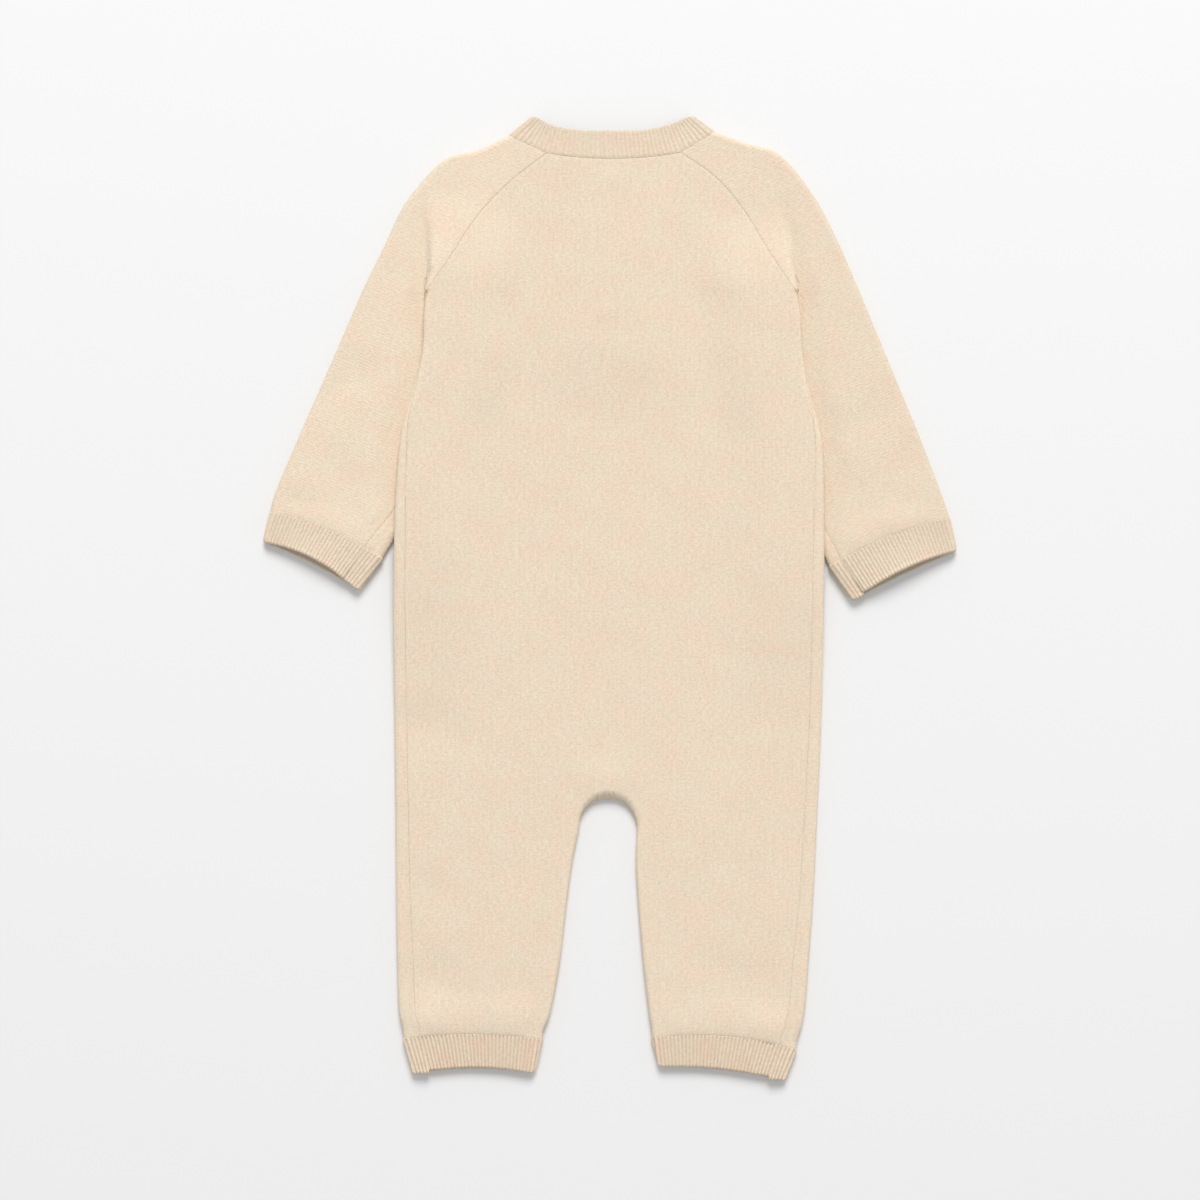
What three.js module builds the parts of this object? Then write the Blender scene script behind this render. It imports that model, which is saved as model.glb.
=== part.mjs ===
// A fine-knit baby sleepsuit, size 6 months, laid flat on its front with its back up.
// Millimetres. X runs across the body to the wearer's right, Y from the legs to the neck, Z up from the
// surface it lies on. Every piece of cloth is a sheet, worked out along the middle of its wall, that is
// given its thickness at the end. Two layers lie on each other, joined by soft folds at their edges.
import * as THREE from 'three';

// ---- Driving sizes ----
const WALL = 1.8; // jersey
const RIB_WALL = 2.2; // 1x1 rib
const GAP = 0.3; // between pieces at a seam
const LOFT = 4.2; // from the middle of one layer to the middle of the other
const PRESSED_LOFT = 2.3; // the same in a sleeve that the body lies on
const FOLD = 2.1; // radius of a fold, to the middle of the wall
const BODY_OVER_SLEEVE = 4.7; // how far a sleeve lifts the side of the body
const BLOUSE = 1.3; // how far the jersey stands up just above a ribbed band
const BLOUSE_LENGTH = 26; // how far above the band it does so
const BOW_LENGTH = 40; // how far above a leg band the rows still bow with its seam
const UNDERARM_Y = 175;
const BUTTON_RADIUS = 5.7;
const BUTTON_HEIGHT = 2.2;
const PLACKET_WIDTH = 18;
const PLACKET_FOOT_Y = 150;
const PLACKET_HEAD_Y = 245;
const PLACKET_WALL = 1.5;
const BUTTON_YS = [237.5, 212.5, 187.5, 162.5];
const SLIT = PLACKET_WIDTH / 2 + GAP; // half the width of the slit that the placket fills
const CENTRE_X = -1; // the middle of the body and of the crotch
const CROTCH = { y: -130, halfWidth: 16.5, rise: 18.3 }; // a half ellipse over the gap between the legs

// The side folds of the body, and where the side seam lies: millimetres round from the fold's outermost
// line, more towards the middle of the back.
const SIDES = [
  { y: 172, left: -102.6, right: 103.0, seam: -0.5 },
  { y: 141, left: -106.0, right: 109.0, seam: 0.5 },
  { y: 121, left: -110.0, right: 112.0, seam: 1.5 },
  { y: 103, left: -116.0, right: 117.0, seam: 3.0 },
  { y: 85, left: -119.5, right: 119.8, seam: 4.8 },
  { y: 57, left: -121.5, right: 121.8, seam: 6.2 },
  { y: 0, left: -123.0, right: 121.5, seam: 7.0 },
  { y: -60, left: -122.6, right: 120.5, seam: 7.2 },
  { y: -126, left: -121.8, right: 117.7, seam: 7.6 },
  { y: -172, left: -121.5, right: 115.5, seam: 8.4 },
  { y: -206, left: -121.0, right: 113.0, seam: 9.4 },
  { y: -234, left: -120.0, right: 110.8, seam: 9.6 },
  { y: -257, left: -116.5, right: 106.0, seam: 9.8 },
];
// The inner folds of the legs, below the crotch.
const INSIDE_LEGS = [
  { y: -130, left: -17.5, right: 15.5 },
  { y: -150, left: -21.5, right: 14.8 },
  { y: -172, left: -24.5, right: 16.0 },
  { y: -206, left: -28.5, right: 18.8 },
  { y: -234, left: -33.6, right: 22.0 },
  { y: -251, left: -38.4, right: 23.9 },
];
// The two ends of each ribbed edge in plan, at its seam and at its free edge, and how far its middle bows
// away from the free edge, in the upper layer and in the lower one, which shows past it. `out` is the end
// on the outer side of the arm or leg.
const BANDS = {
  leg_band_left: {
    seam: { out: [-117.4, -250.2], into: [-38.4, -250.4], bow: 2.6 },
    free: { out: [-112.3, -270.4], into: [-43.0, -269.4], bow: 3.6, bowLow: 2.6 },
  },
  leg_band_right: {
    seam: { out: [106.0, -256.5], into: [23.9, -249.2], bow: 4.0 },
    free: { out: [99.6, -274.2], into: [27.6, -265.6], bow: 2.6, bowLow: 1.8 },
  },
  cuff_left: {
    seam: { out: [-193.4, 49.0], into: [-129.1, 22.8], bow: 3.4 },
    free: { out: [-197.06, 32.0], into: [-142.4, 4.6], bow: 4.6, bowLow: 1.8 },
  },
  cuff_right: {
    seam: { out: [193.2, 45.6], into: [124.4, 18.4], bow: 3.2 },
    free: { out: [197.0, 27.0], into: [137.4, -1.0], bow: 3.6, bowLow: 0 },
  },
};
// Raglan sleeves. `shoulder` is the folded outer edge from the neckband to the underarm's level, `back` and
// `front` the raglan seams over the same stretch. Below, `out` and `into` are the sleeve's two folds.
const SLEEVES = {
  left: {
    shoulder: [[-57.5, 262.5], [-76, 254], [-94.5, 249], [-115.5, 226], [-127.5, 202], [-140.4, 175.5]],
    back: [[-36, 252.5], [-57, 236.5], [-76, 216], [-91.5, 192], [-102.6, UNDERARM_Y]],
    front: [[-43, 246], [-60, 231.5], [-77, 213], [-92, 191.5], [-102.6, UNDERARM_Y]],
    out: [[-145.5, 163], [-162.5, 124.5], [-178.5, 88], [-190.5, 59.5], BANDS.cuff_left.seam.out],
    into: [[-104.7, 163], [-92, 128], [-97, 89], [-114.5, 49], BANDS.cuff_left.seam.into],
  },
  right: {
    shoulder: [[59.5, 264.8], [77, 258.6], [97, 251.6], [116, 228.4], [129, 204], [141.4, 175.5]],
    back: [[40, 253], [60, 239], [76.5, 219.5], [90.5, 196], [103, UNDERARM_Y]],
    front: [[44, 247], [61, 232], [77.5, 213.5], [92.5, 191.5], [103, UNDERARM_Y]],
    out: [[146.5, 163.5], [162.5, 124.5], [177.5, 88], [188.5, 59], BANDS.cuff_right.seam.out],
    into: [[106.3, 163], [95, 128], [99, 89], [111, 48], BANDS.cuff_right.seam.into],
  },
};
// The neckband's free edge, from the wearer's left to the right, on the back and on the front.
const NECK_FREE = {
  back: [[-43.5, 273.6], [-33, 268.2], [-17, 265.2], [0, 264.8], [18, 265.2], [34, 268.6], [46.5, 273.85]],
  left: [[-43.5, 273.6], [-34, 258.5], [-22, 249], [CENTRE_X - SLIT, 245.4]],
  right: [[46.5, 273.85], [36, 258.5], [22, 249], [CENTRE_X + SLIT, 245.4]],
};
const NECK_SEAM_DEPTH = { back: 3.6, front: 17.4 }; // how far the seam dips between the raglan seams

// ---- Small helpers ----
const QUARTER = (FOLD * Math.PI) / 2;
const mix = (a, b, t) => a + (b - a) * t;
const clamp = (t) => Math.min(1, Math.max(0, t));
const smooth = (t) => clamp(t) ** 2 * (3 - 2 * clamp(t));
const mixPoints = (a, b, t) => [mix(a[0], b[0], t), mix(a[1], b[1], t)];
const moved = (p, direction, by) => [p[0] + direction[0] * by, p[1] + direction[1] * by];
const distance = (a, b) => Math.hypot(b[0] - a[0], b[1] - a[1]);
const towards = (a, b) => [(b[0] - a[0]) / distance(a, b), (b[1] - a[1]) / distance(a, b)];
const steps = (count) => Array.from({ length: count + 1 }, (_, i) => i / count);

// A smooth line through a few points, from its first at t = 0 to its last at t = 1.
function through(points, t) {
  const last = points.length - 1;
  const i = Math.min(last - 1, Math.floor(clamp(t) * last));
  const f = clamp(t) * last - i;
  const [b, c] = [points[i], points[i + 1]];
  const a = points[i - 1] ?? [2 * b[0] - c[0], 2 * b[1] - c[1]];
  const d = points[i + 2] ?? [2 * c[0] - b[0], 2 * c[1] - b[1]];
  return [0, 1].map((k) => {
    const bend = 2 * a[k] - 5 * b[k] + 4 * c[k] - d[k];
    const twist = 3 * b[k] - a[k] - 3 * c[k] + d[k];
    return b[k] + 0.5 * f * (c[k] - a[k] + f * (bend + f * twist));
  });
}

// A table's column at a height y, smoothly between its rows, whose y falls from one to the next.
function at(table, column, y) {
  const inside = Math.min(table[0].y, Math.max(table.at(-1).y, y));
  const i = Math.min(table.length - 2, Math.max(0, table.findIndex((row) => row.y < inside) - 1));
  const slope = (k) => {
    const [above, below] = [table[Math.max(0, k - 1)], table[Math.min(table.length - 1, k + 1)]];
    return (below[column] - above[column]) / (below.y - above.y);
  };
  const [from, to] = [table[i], table[i + 1]];
  const span = to.y - from.y;
  const f = (inside - from.y) / span;
  return from[column] * (1 + 2 * f) * (1 - f) ** 2 + slope(i) * span * f * (1 - f) ** 2
    + to[column] * f * f * (3 - 2 * f) + slope(i + 1) * span * f * f * (f - 1);
}

// ---- How high the layers lie ----
// Distance in from the body's side fold, negative outside it.
function fromSide(x, y) {
  return x < 0 ? x - at(SIDES, 'left', y) : at(SIDES, 'right', y) - x;
}

// 1 up to `full` and then falling smoothly to 0 at `full + run`.
const fading = (d, full, run) => 1 - smooth((d - full) / run);

// The buttons hold the placket and the cloth round it off the surface.
const PLACKET_Z = BUTTON_HEIGHT + 0.2;
function placketLift(x, y) {
  const beside = Math.abs(x) - PLACKET_WIDTH / 2;
  const beyond = Math.max(PLACKET_FOOT_Y - y, y - PLACKET_HEAD_Y - 38);
  return PLACKET_Z * fading(beside, 2, 22) * fading(beyond, 2, 22);
}

// The sides of the body lie on the sleeves, from just above the underarm to the cuffs.
function sideLift(x, y) {
  const along = y > UNDERARM_Y ? fading(y - UNDERARM_Y, 2, 48) : fading(-y, -16, 36);
  const inward = fromSide(x, y);
  const across = inward > 0 ? fading(inward, 27, 32) : fading(-inward, 1, 11);
  return BODY_OVER_SLEEVE * along * across;
}

// How much of the raglan's shape a sleeve still has: all of it at the underarm, none a little below.
const raglanShare = (y) => fading(UNDERARM_Y - y, 1, 10);

const BODY = {
  low: (x, y) => WALL / 2 + sideLift(x, y) + placketLift(x, y),
  high: (x, y) => BODY.low(x, y) + LOFT,
};
const SLEEVE = {
  low: (x, y) => WALL / 2 + sideLift(x, y) * raglanShare(y) + placketLift(x, y),
  high: (x, y) => {
    const covered = fading(-fromSide(x, y), 2, 14);
    const loft = mix(mix(LOFT, PRESSED_LOFT, covered), LOFT, raglanShare(y));
    return SLEEVE.low(x, y) + loft;
  },
};
const COLLAR = {
  low: (x, y) => BODY.low(x, y) + (RIB_WALL - WALL) / 2,
  high: (x, y) => BODY.high(x, y) - (RIB_WALL - WALL) / 2,
};
const RIB = {
  low: () => RIB_WALL / 2,
  high: () => RIB_WALL / 2 + LOFT - (RIB_WALL - WALL),
};

// ---- Rows: lines across a tube in plan, from its outer fold to its inner fold or to the body's middle ----
// `end` is where the flat upper layer ends and `endLow` where the lower one does. A row with an `edge` goes
// on round a fold there, against `normal`. `bow` pushes its middle towards the neck and `blouse` lifts it.
function row(out, end, extra = {}) {
  return { out, end, endLow: end, bow: 0, blouse: 0, ...extra };
}

function tubeRow(out, edge, normal = towards(edge, out), extra = {}) {
  return row(out, moved(edge, normal, WALL / 2 + FOLD), { edge, normal, ...extra });
}

function lengthOf(r, upper) {
  return distance(r.out, upper ? r.end : r.endLow);
}

function inPlan(r, upper, along) {
  const end = upper ? r.end : r.endLow;
  const t = along / distance(r.out, end);
  const [dx, dy] = towards(r.out, end);
  const side = dx < 0 ? -1 : 1;
  const bow = upper ? r.bow : (r.bowLow ?? r.bow);
  return moved(mixPoints(r.out, end, t), [-dy * side, dx * side], bow * 4 * t * (1 - t));
}

// The point s millimetres round the row's section from the outermost line of its outer fold: over the top
// where s is positive, under the bottom where it is negative.
function around(r, s, layers) {
  const upper = s >= 0;
  const d = Math.abs(s);
  const flat = lengthOf(r, upper) - WALL / 2 - FOLD;
  let place;
  let lean = 1; // 1 in the layer that s starts in, -1 in the other
  if (d < QUARTER) {
    place = inPlan(r, upper, WALL / 2 + FOLD * (1 - Math.cos(d / FOLD)));
    lean = Math.sin(d / FOLD);
  } else if (d <= QUARTER + flat || !r.edge) {
    place = inPlan(r, upper, WALL / 2 + FOLD + d - QUARTER);
  } else {
    const turn = (d - QUARTER - flat) / FOLD;
    const back = Math.max(0, turn - Math.PI) * FOLD;
    const reach = FOLD * (1 - Math.sin(turn));
    place = back ? inPlan(r, upper, lengthOf(r, upper) - back) : moved(r.edge, r.normal, WALL / 2 + reach);
    lean = Math.cos(Math.min(turn, Math.PI));
  }
  const height = upper ? lean : -lean;
  const [low, high] = [layers.low(...place), layers.high(...place)];
  const middle = 1 - fading(Math.min(d - QUARTER, QUARTER + flat - d), 0, 12);
  const puffed = height > 0.99 ? r.blouse * middle : 0;
  return [...place, (low + high) / 2 + (height * (high - low)) / 2 + puffed];
}

// Points of a row at stations between marks: `counts[i]` equal steps from marks[i] to marks[i + 1].
function line(r, marks, counts, layers) {
  const found = [around(r, marks[0], layers)];
  counts.forEach((count, i) => {
    for (const t of steps(count).slice(1)) found.push(around(r, mix(marks[i], marks[i + 1], t), layers));
  });
  return found;
}

// ---- From sheets to solids ----
// Joins grids of points into one closed body with the given wall. Grids that share points are sewn along
// them. A grid with `flip` runs the other way round, and `skip(i, j)` leaves out its cell there.
function solid(grids, wall) {
  const points = [];
  const known = new Map();
  const faces = [];
  const indexOf = (p) => {
    const key = p.map((v) => Math.round(v * 500)).join();
    if (!known.has(key)) known.set(key, points.push(new THREE.Vector3(...p)) - 1);
    return known.get(key);
  };
  const addFace = (a, b, c) => {
    if (a !== b && b !== c && a !== c) faces.push([a, b, c]);
  };
  for (const { rows, flip = false, skip = () => false } of grids) {
    const ids = rows.map((points) => points.map(indexOf));
    for (let i = 0; i + 1 < ids.length; i++) {
      for (let j = 0; j + 1 < ids[i].length; j++) {
        if (skip(i, j)) continue;
        const [a, b, c, d] = [ids[i][j], ids[i][j + 1], ids[i + 1][j + 1], ids[i + 1][j]];
        if (flip) {
          addFace(a, c, b);
          addFace(a, d, c);
        } else {
          addFace(a, b, c);
          addFace(a, c, d);
        }
      }
    }
  }
  const normals = points.map(() => new THREE.Vector3());
  const edges = new Set();
  for (const [a, b, c] of faces) {
    const side = points[b].clone().sub(points[a]);
    const normal = side.cross(points[c].clone().sub(points[a]));
    for (const i of [a, b, c]) normals[i].add(normal);
    for (const [i, j] of [[a, b], [b, c], [c, a]]) edges.add(`${i},${j}`);
  }
  // A point on a rim has faces on one side only, so its normal is that of the next point in, mirrored.
  const inner = points.map(() => new THREE.Vector3());
  const rim = new Set([...edges].map((e) => e.split(',').map(Number))
    .filter(([i, j]) => !edges.has(`${j},${i}`)).flat());
  for (const n of normals) n.normalize();
  for (const edge of edges) {
    const [i, j] = edge.split(',').map(Number);
    if (rim.has(i) && !rim.has(j)) inner[i].add(normals[j]);
    if (rim.has(j) && !rim.has(i)) inner[j].add(normals[i]);
  }
  const mirrored = normals.map((n, i) => {
    if (!inner[i].lengthSq()) return n;
    const next = inner[i].normalize();
    return n.clone().multiplyScalar(2 * n.dot(next)).sub(next);
  });
  const count = points.length;
  const vertices = [1, -1].flatMap((side) => points.map((p, i) => {
    return p.clone().addScaledVector(mirrored[i], (side * wall) / 2);
  }));
  const index = faces.flatMap(([a, b, c]) => [a, b, c, a + count, c + count, b + count]);
  for (const edge of edges) {
    const [i, j] = edge.split(',').map(Number);
    if (!edges.has(`${j},${i}`)) index.push(j, i, i + count, j, i + count, j + count);
  }
  const used = [...new Set(index)];
  const place = new Map(used.map((old, now) => [old, now]));
  const geometry = new THREE.BufferGeometry();
  const flat = used.flatMap((i) => vertices[i].toArray());
  geometry.setAttribute('position', new THREE.Float32BufferAttribute(flat, 3));
  geometry.setIndex(index.map((i) => place.get(i)));
  return geometry;
}

// ---- Materials ----
const jersey = new THREE.MeshStandardMaterial({ color: 0xe9d7bf, roughness: 0.95, metalness: 0 });
const rib = new THREE.MeshStandardMaterial({ color: 0xe4d0b8, roughness: 0.95, metalness: 0 });
const shell = new THREE.MeshStandardMaterial({ color: 0xf0e8da, roughness: 0.45, metalness: 0 });

const sleepsuit = new THREE.Group();

function add(name, geometry, material) {
  const mesh = new THREE.Mesh(geometry, material);
  mesh.name = name;
  sleepsuit.add(mesh);
  return mesh;
}

// ---- Body: front and back, each made as a left and a right half that meet at the centre line ----
const RAGLAN_STEPS = 7;
const TUBE_YS = [172, 163, 150, 136, 122, 106, 84, 46, 4, -38];
const CROTCH_STEPS = 4;
const LEG_YS = [-148, -168, -190, -212];
const ABOVE_SEAM = [20, 8, 0]; // rows above a band's seam, where the jersey blouses
const FLAT_STEPS = 5;
const RAGLAN_RIM = 14; // the strip along a raglan seam that runs into the side fold below
const SEAM_LEAN = 0.8; // how far a seam's gap leans down along the body for each millimetre across it

const sideOf = (side) => (side === 'left' ? -1 : 1);

// Where the neckline is between the raglan seams: a shallow dip on the back and a deeper one on the front.
function neckDip(face, x) {
  const ends = [SLEEVES.left[face][0], SLEEVES.right[face][0]];
  const t = (x - ends[0][0]) / (ends[1][0] - ends[0][0]);
  return mix(ends[0][1], ends[1][1], t) - NECK_SEAM_DEPTH[face] * (1 - Math.abs(2 * t - 1) ** 2.2);
}

// Rows of one half of the body beside a raglan seam, as points: they start at the seam.
function raglanRows(face, side, outerCount) {
  const layer = face === 'back' ? BODY.high : BODY.low;
  return steps(RAGLAN_STEPS).map((t) => {
    const start = moved(through(SLEEVES[side][face], t), [-sideOf(side), -SEAM_LEAN], GAP / 2);
    const centreY = mix(neckDip(face, CENTRE_X) - GAP / 2, UNDERARM_Y - 1, t);
    const inwards = Math.abs(start[0] - CENTRE_X);
    const stops = [0, RAGLAN_RIM, inwards];
    if (face === 'front') stops.splice(2, 0, inwards - SLIT);
    const counts = face === 'front' ? [outerCount, FLAT_STEPS, 1] : [outerCount, FLAT_STEPS];
    const pointAt = (d) => {
      const share = Math.abs(1 - d / inwards) ** mix(2.2, 2, t);
      const x = start[0] - sideOf(side) * d;
      const y = mix(centreY, start[1], share);
      return [x, y, layer(x, y)];
    };
    const found = [pointAt(0)];
    counts.forEach((count, i) => {
      for (const f of steps(count).slice(1)) found.push(pointAt(mix(stops[i], stops[i + 1], f)));
    });
    return found;
  });
}

// Rows of one half below the underarm, down to the crotch.
function torsoRows(side) {
  return TUBE_YS.map((y) => row([at(SIDES, side, y), y], [CENTRE_X, y]));
}

// Rows of one leg, from the crown of the crotch to the band's seam.
function legRows(side) {
  const seam = BANDS[`leg_band_${side}`].seam;
  const rows = steps(CROTCH_STEPS).map((f) => {
    const angle = (f * Math.PI) / 2;
    const edge = [
      CENTRE_X + sideOf(side) * CROTCH.halfWidth * Math.sin(angle),
      CROTCH.y + CROTCH.rise * Math.cos(angle),
    ];
    const across = [sideOf(side) * Math.sin(angle) * CROTCH.rise, Math.cos(angle) * CROTCH.halfWidth];
    const normal = towards([0, 0], across);
    const y = edge[1] + normal[1] * (WALL / 2 + FOLD);
    return tubeRow([at(SIDES, side, y), y], edge, normal);
  });
  for (const y of LEG_YS) {
    rows.push(tubeRow([at(SIDES, side, y), y], [at(INSIDE_LEGS, side, y), y]));
  }
  for (const above of ABOVE_SEAM) {
    const outY = seam.out[1] + above + GAP / 2;
    const intoY = seam.into[1] + above + GAP / 2;
    const out = [above ? at(SIDES, side, outY) : seam.out[0], outY];
    const edge = [above ? at(INSIDE_LEGS, side, intoY) : seam.into[0], intoY];
    const share = 1 - above / BOW_LENGTH;
    rows.push(tubeRow(out, edge, undefined, { bow: seam.bow * share, blouse: blouseAt(above) }));
  }
  return rows;
}

function blouseAt(above) {
  return BLOUSE * Math.sin(Math.PI * clamp(above / BLOUSE_LENGTH) ** 0.6);
}

function backHalf(side) {
  const flip = side === 'left';
  const seamAt = (r) => at(SIDES, 'seam', r.out[1]) + GAP;
  const flatEnd = (r) => QUARTER + lengthOf(r, true) - WALL / 2 - FOLD;
  const outer = (r) => [seamAt(r), Math.max(QUARTER, seamAt(r) + 2), QUARTER + 12];
  const torso = torsoRows(side).map((r) => line(r, [...outer(r), flatEnd(r)], [3, 1, FLAT_STEPS], BODY));
  const legs = legRows(side).map((r) => {
    const marks = [...outer(r), flatEnd(r), flatEnd(r) + QUARTER - GAP / 2];
    return line(r, marks, [3, 1, FLAT_STEPS, 3], BODY);
  });
  const crown = legs[0].slice(0, FLAT_STEPS + 5);
  return [{ rows: [...raglanRows('back', side, 4), ...torso, crown], flip }, { rows: legs, flip }];
}

function frontHalf(side) {
  const flip = side === 'right';
  const seamAt = (r) => at(SIDES, 'seam', r.out[1]) - GAP;
  const flatEnd = (r) => -(QUARTER + lengthOf(r, false) - WALL / 2 - FOLD);
  const placketEdge = (r) => flatEnd(r) + SLIT;
  const torso = torsoRows(side).map((r) => {
    return line(r, [seamAt(r), -QUARTER, placketEdge(r), flatEnd(r)], [5, FLAT_STEPS, 1], BODY);
  });
  const legs = legRows(side).map((r) => {
    const marks = [seamAt(r), -QUARTER, flatEnd(r), flatEnd(r) - QUARTER + GAP / 2];
    return line(r, marks, [5, FLAT_STEPS + 1, 3], BODY);
  });
  const crown = legs[0].slice(0, FLAT_STEPS + 7);
  const rows = [...raglanRows('front', side, 5), ...torso, crown];
  const inSlit = (i, j) => j === FLAT_STEPS + 5 && rows[i + 1][j][1] > PLACKET_FOOT_Y - 0.6;
  return [{ rows, flip, skip: inSlit }, { rows: legs, flip }];
}

add('back', solid([...backHalf('left'), ...backHalf('right')], WALL), jersey);
add('front', solid([...frontHalf('left'), ...frontHalf('right')], WALL), jersey);

// ---- Sleeves: one sheet each, from the back raglan seam over the outer fold to the front one. Below the
// underarm its two edges meet in the underarm seam, on the upper side near the inner fold. ----
const ARM_STEPS = 6;
const SLEEVE_STEPS = [6, 4, 4, 5]; // over the top, round the outer fold, underneath, along the rim
const ARM_LENGTH = 120; // from the underarm to the cuff
const UNDERARM_SEAM = { left: [2.5, 8.5], right: [2.5, 4.5] }; // in from the fold, midway and at the cuff
const SEAM_SIDE = 0.22; // how far the sleeve keeps off the raglan seam's line
const FRONT_RIM = 8; // the strip of the sleeve along the front raglan seam

function sleeve(side) {
  const cut = SLEEVES[side];
  const outward = [sideOf(side), SEAM_LEAN];
  const rows = steps(RAGLAN_STEPS).map((t) => {
    const shoulder = moved(through(cut.shoulder, t), [0, -1], t === 0 ? GAP : 0);
    const end = moved(through(cut.back, t), outward, SEAM_SIDE);
    const endLow = moved(through(cut.front, t), outward, SEAM_SIDE);
    const r = row(shoulder, end, { endLow });
    const top = QUARTER + lengthOf(r, true) - WALL / 2 - FOLD;
    const bottom = QUARTER + lengthOf(r, false) - WALL / 2 - FOLD;
    return line(r, [top, QUARTER, -QUARTER, FRONT_RIM - bottom, -bottom], SLEEVE_STEPS, SLEEVE);
  });
  for (const t of steps(ARM_STEPS)) {
    const seam = BANDS[`cuff_${side}`].seam;
    const clear = t === 1 ? GAP / 2 : 0;
    const out = moved(through(cut.out, t), [0, 1], clear);
    const into = moved(through(cut.into, t), [0, 1], clear);
    const shape = { bow: seam.bow * smooth(t * 2 - 1), blouse: blouseAt((1 - t) * ARM_LENGTH) };
    const r = tubeRow(out, into, undefined, shape);
    const flatEnd = QUARTER + lengthOf(r, true) - WALL / 2 - FOLD;
    const [midway, atCuff] = UNDERARM_SEAM[side];
    const seamIn = mix(mix(-QUARTER, midway, smooth(t * 2)), atCuff, smooth(t * 2 - 1));
    const marks = [flatEnd - seamIn - GAP / 2, QUARTER, -QUARTER, -flatEnd];
    marks.push(-(flatEnd + 2 * QUARTER + seamIn - GAP / 2));
    rows.push(line(r, marks, SLEEVE_STEPS, SLEEVE));
  }
  return [{ rows, flip: side === 'right' }];
}

add('sleeve_left', solid(sleeve('left'), WALL), jersey);
add('sleeve_right', solid(sleeve('right'), WALL), jersey);

// ---- Ribbed cuffs and leg bands: closed rings ----
function band(name) {
  const { seam, free } = BANDS[name];
  const rows = steps(2).map((t) => {
    const drop = t === 0 ? GAP / 2 : 0;
    const out = moved(mixPoints(seam.out, free.out, t), [0, -1], drop);
    const into = moved(mixPoints(seam.into, free.into, t), [0, -1], drop);
    const bows = { bow: mix(seam.bow, free.bow, t), bowLow: mix(seam.bow, free.bowLow, t) };
    const r = tubeRow(out, into, undefined, bows);
    const flatEnd = QUARTER + lengthOf(r, true) - WALL / 2 - FOLD;
    const upper = line(r, [-QUARTER, QUARTER, flatEnd, flatEnd + 2 * QUARTER], [4, 6, 4], RIB);
    const lower = line(r, [-flatEnd, -QUARTER], [6], RIB);
    return [...upper.slice(0, -1), ...lower];
  });
  return [{ rows, flip: name.endsWith('right') }];
}

for (const name of Object.keys(BANDS)) add(name, solid(band(name), RIB_WALL), rib);

// ---- Neckband: from one side of the placket round the neck to the other ----
function neckband() {
  const FRONT_STEPS = 6;
  const BACK_STEPS = 14;
  const CORNER = 0.05; // share of each stretch that a fold takes
  const INSET = 0.012; // share of each stretch that its fold lies in from the silhouette
  const CLEAR = GAP + 0.1; // the neckband is thicker than the jersey, so it keeps further off it
  const shoulders = { left: SLEEVES.left.shoulder[0], right: SLEEVES.right.shoulder[0] };
  const alongSeam = (face, x) => {
    const side = x < CENTRE_X ? 'left' : 'right';
    const [from, to] = [shoulders[side], SLEEVES[side][face][0]];
    const t = (x - from[0]) / (to[0] - from[0]);
    return t < 1 ? mixPoints(from, to, t) : [x, neckDip(face, x)];
  };
  // `t` runs from the fold on that side to the slit on the front, and to the other fold on the back.
  const front = (side, t, k) => {
    const x = mix(shoulders[side][0], CENTRE_X + sideOf(side) * SLIT, t);
    return mixPoints(alongSeam('front', x), through(NECK_FREE[side], t), k);
  };
  const back = (side, t, k) => {
    const f = side === 'left' ? t : 1 - t;
    const x = mix(shoulders.left[0], shoulders.right[0], f);
    return mixPoints(alongSeam('back', x), through(NECK_FREE.back, f), k);
  };
  const rowAt = (k) => {
    const clear = k === 0 ? CLEAR : 0;
    const flat = ([x, y], layer) => [x, y + clear, layer(x, y)];
    const fold = (side) => [-60, -30, 0, 30, 60].map((degrees) => {
      const angle = (degrees * Math.PI) / 180;
      const t = INSET + CORNER * (1 - Math.cos(angle));
      const [x, y] = mixPoints(front(side, t, k), back(side, t / 2, k), (Math.sin(angle) + 1) / 2);
      const [low, high] = [COLLAR.low(x, y), COLLAR.high(x, y)];
      return [x, y + clear, (low + high) / 2 + (Math.sin(angle) * (high - low)) / 2];
    });
    const rightFront = steps(FRONT_STEPS).map((f) => flat(front('right', mix(1, CORNER, f), k), COLLAR.low));
    const wholeBack = steps(BACK_STEPS).map((f) => {
      return flat(back('left', mix(1 - CORNER / 2, CORNER / 2, f), k), COLLAR.high);
    });
    const leftFront = steps(FRONT_STEPS).map((f) => flat(front('left', mix(CORNER, 1, f), k), COLLAR.low));
    return [...rightFront, ...fold('right'), ...wholeBack, ...fold('left').reverse(), ...leftFront];
  };
  return [{ rows: steps(2).map(rowAt), flip: true }];
}

add('neckband', solid(neckband(), RIB_WALL), rib);

// ---- Placket: two bands in the front's slit, one on the other, with buttons on the outer one ----
function placketBand(level) {
  const half = PLACKET_WIDTH / 2;
  const ys = steps(8).map((t) => mix(PLACKET_HEAD_Y, PLACKET_FOOT_Y + GAP, t));
  const rows = ys.map((y) => steps(2).map((t) => {
    const x = mix(-half, half, t) + CENTRE_X;
    return [x, y, PLACKET_Z + PLACKET_WALL / 2 + level * (PLACKET_WALL + GAP)];
  }));
  return [{ rows, flip: true }];
}

add('placket_over', solid(placketBand(0), PLACKET_WALL), rib);
add('placket_under', solid(placketBand(1), PLACKET_WALL), rib);

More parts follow.
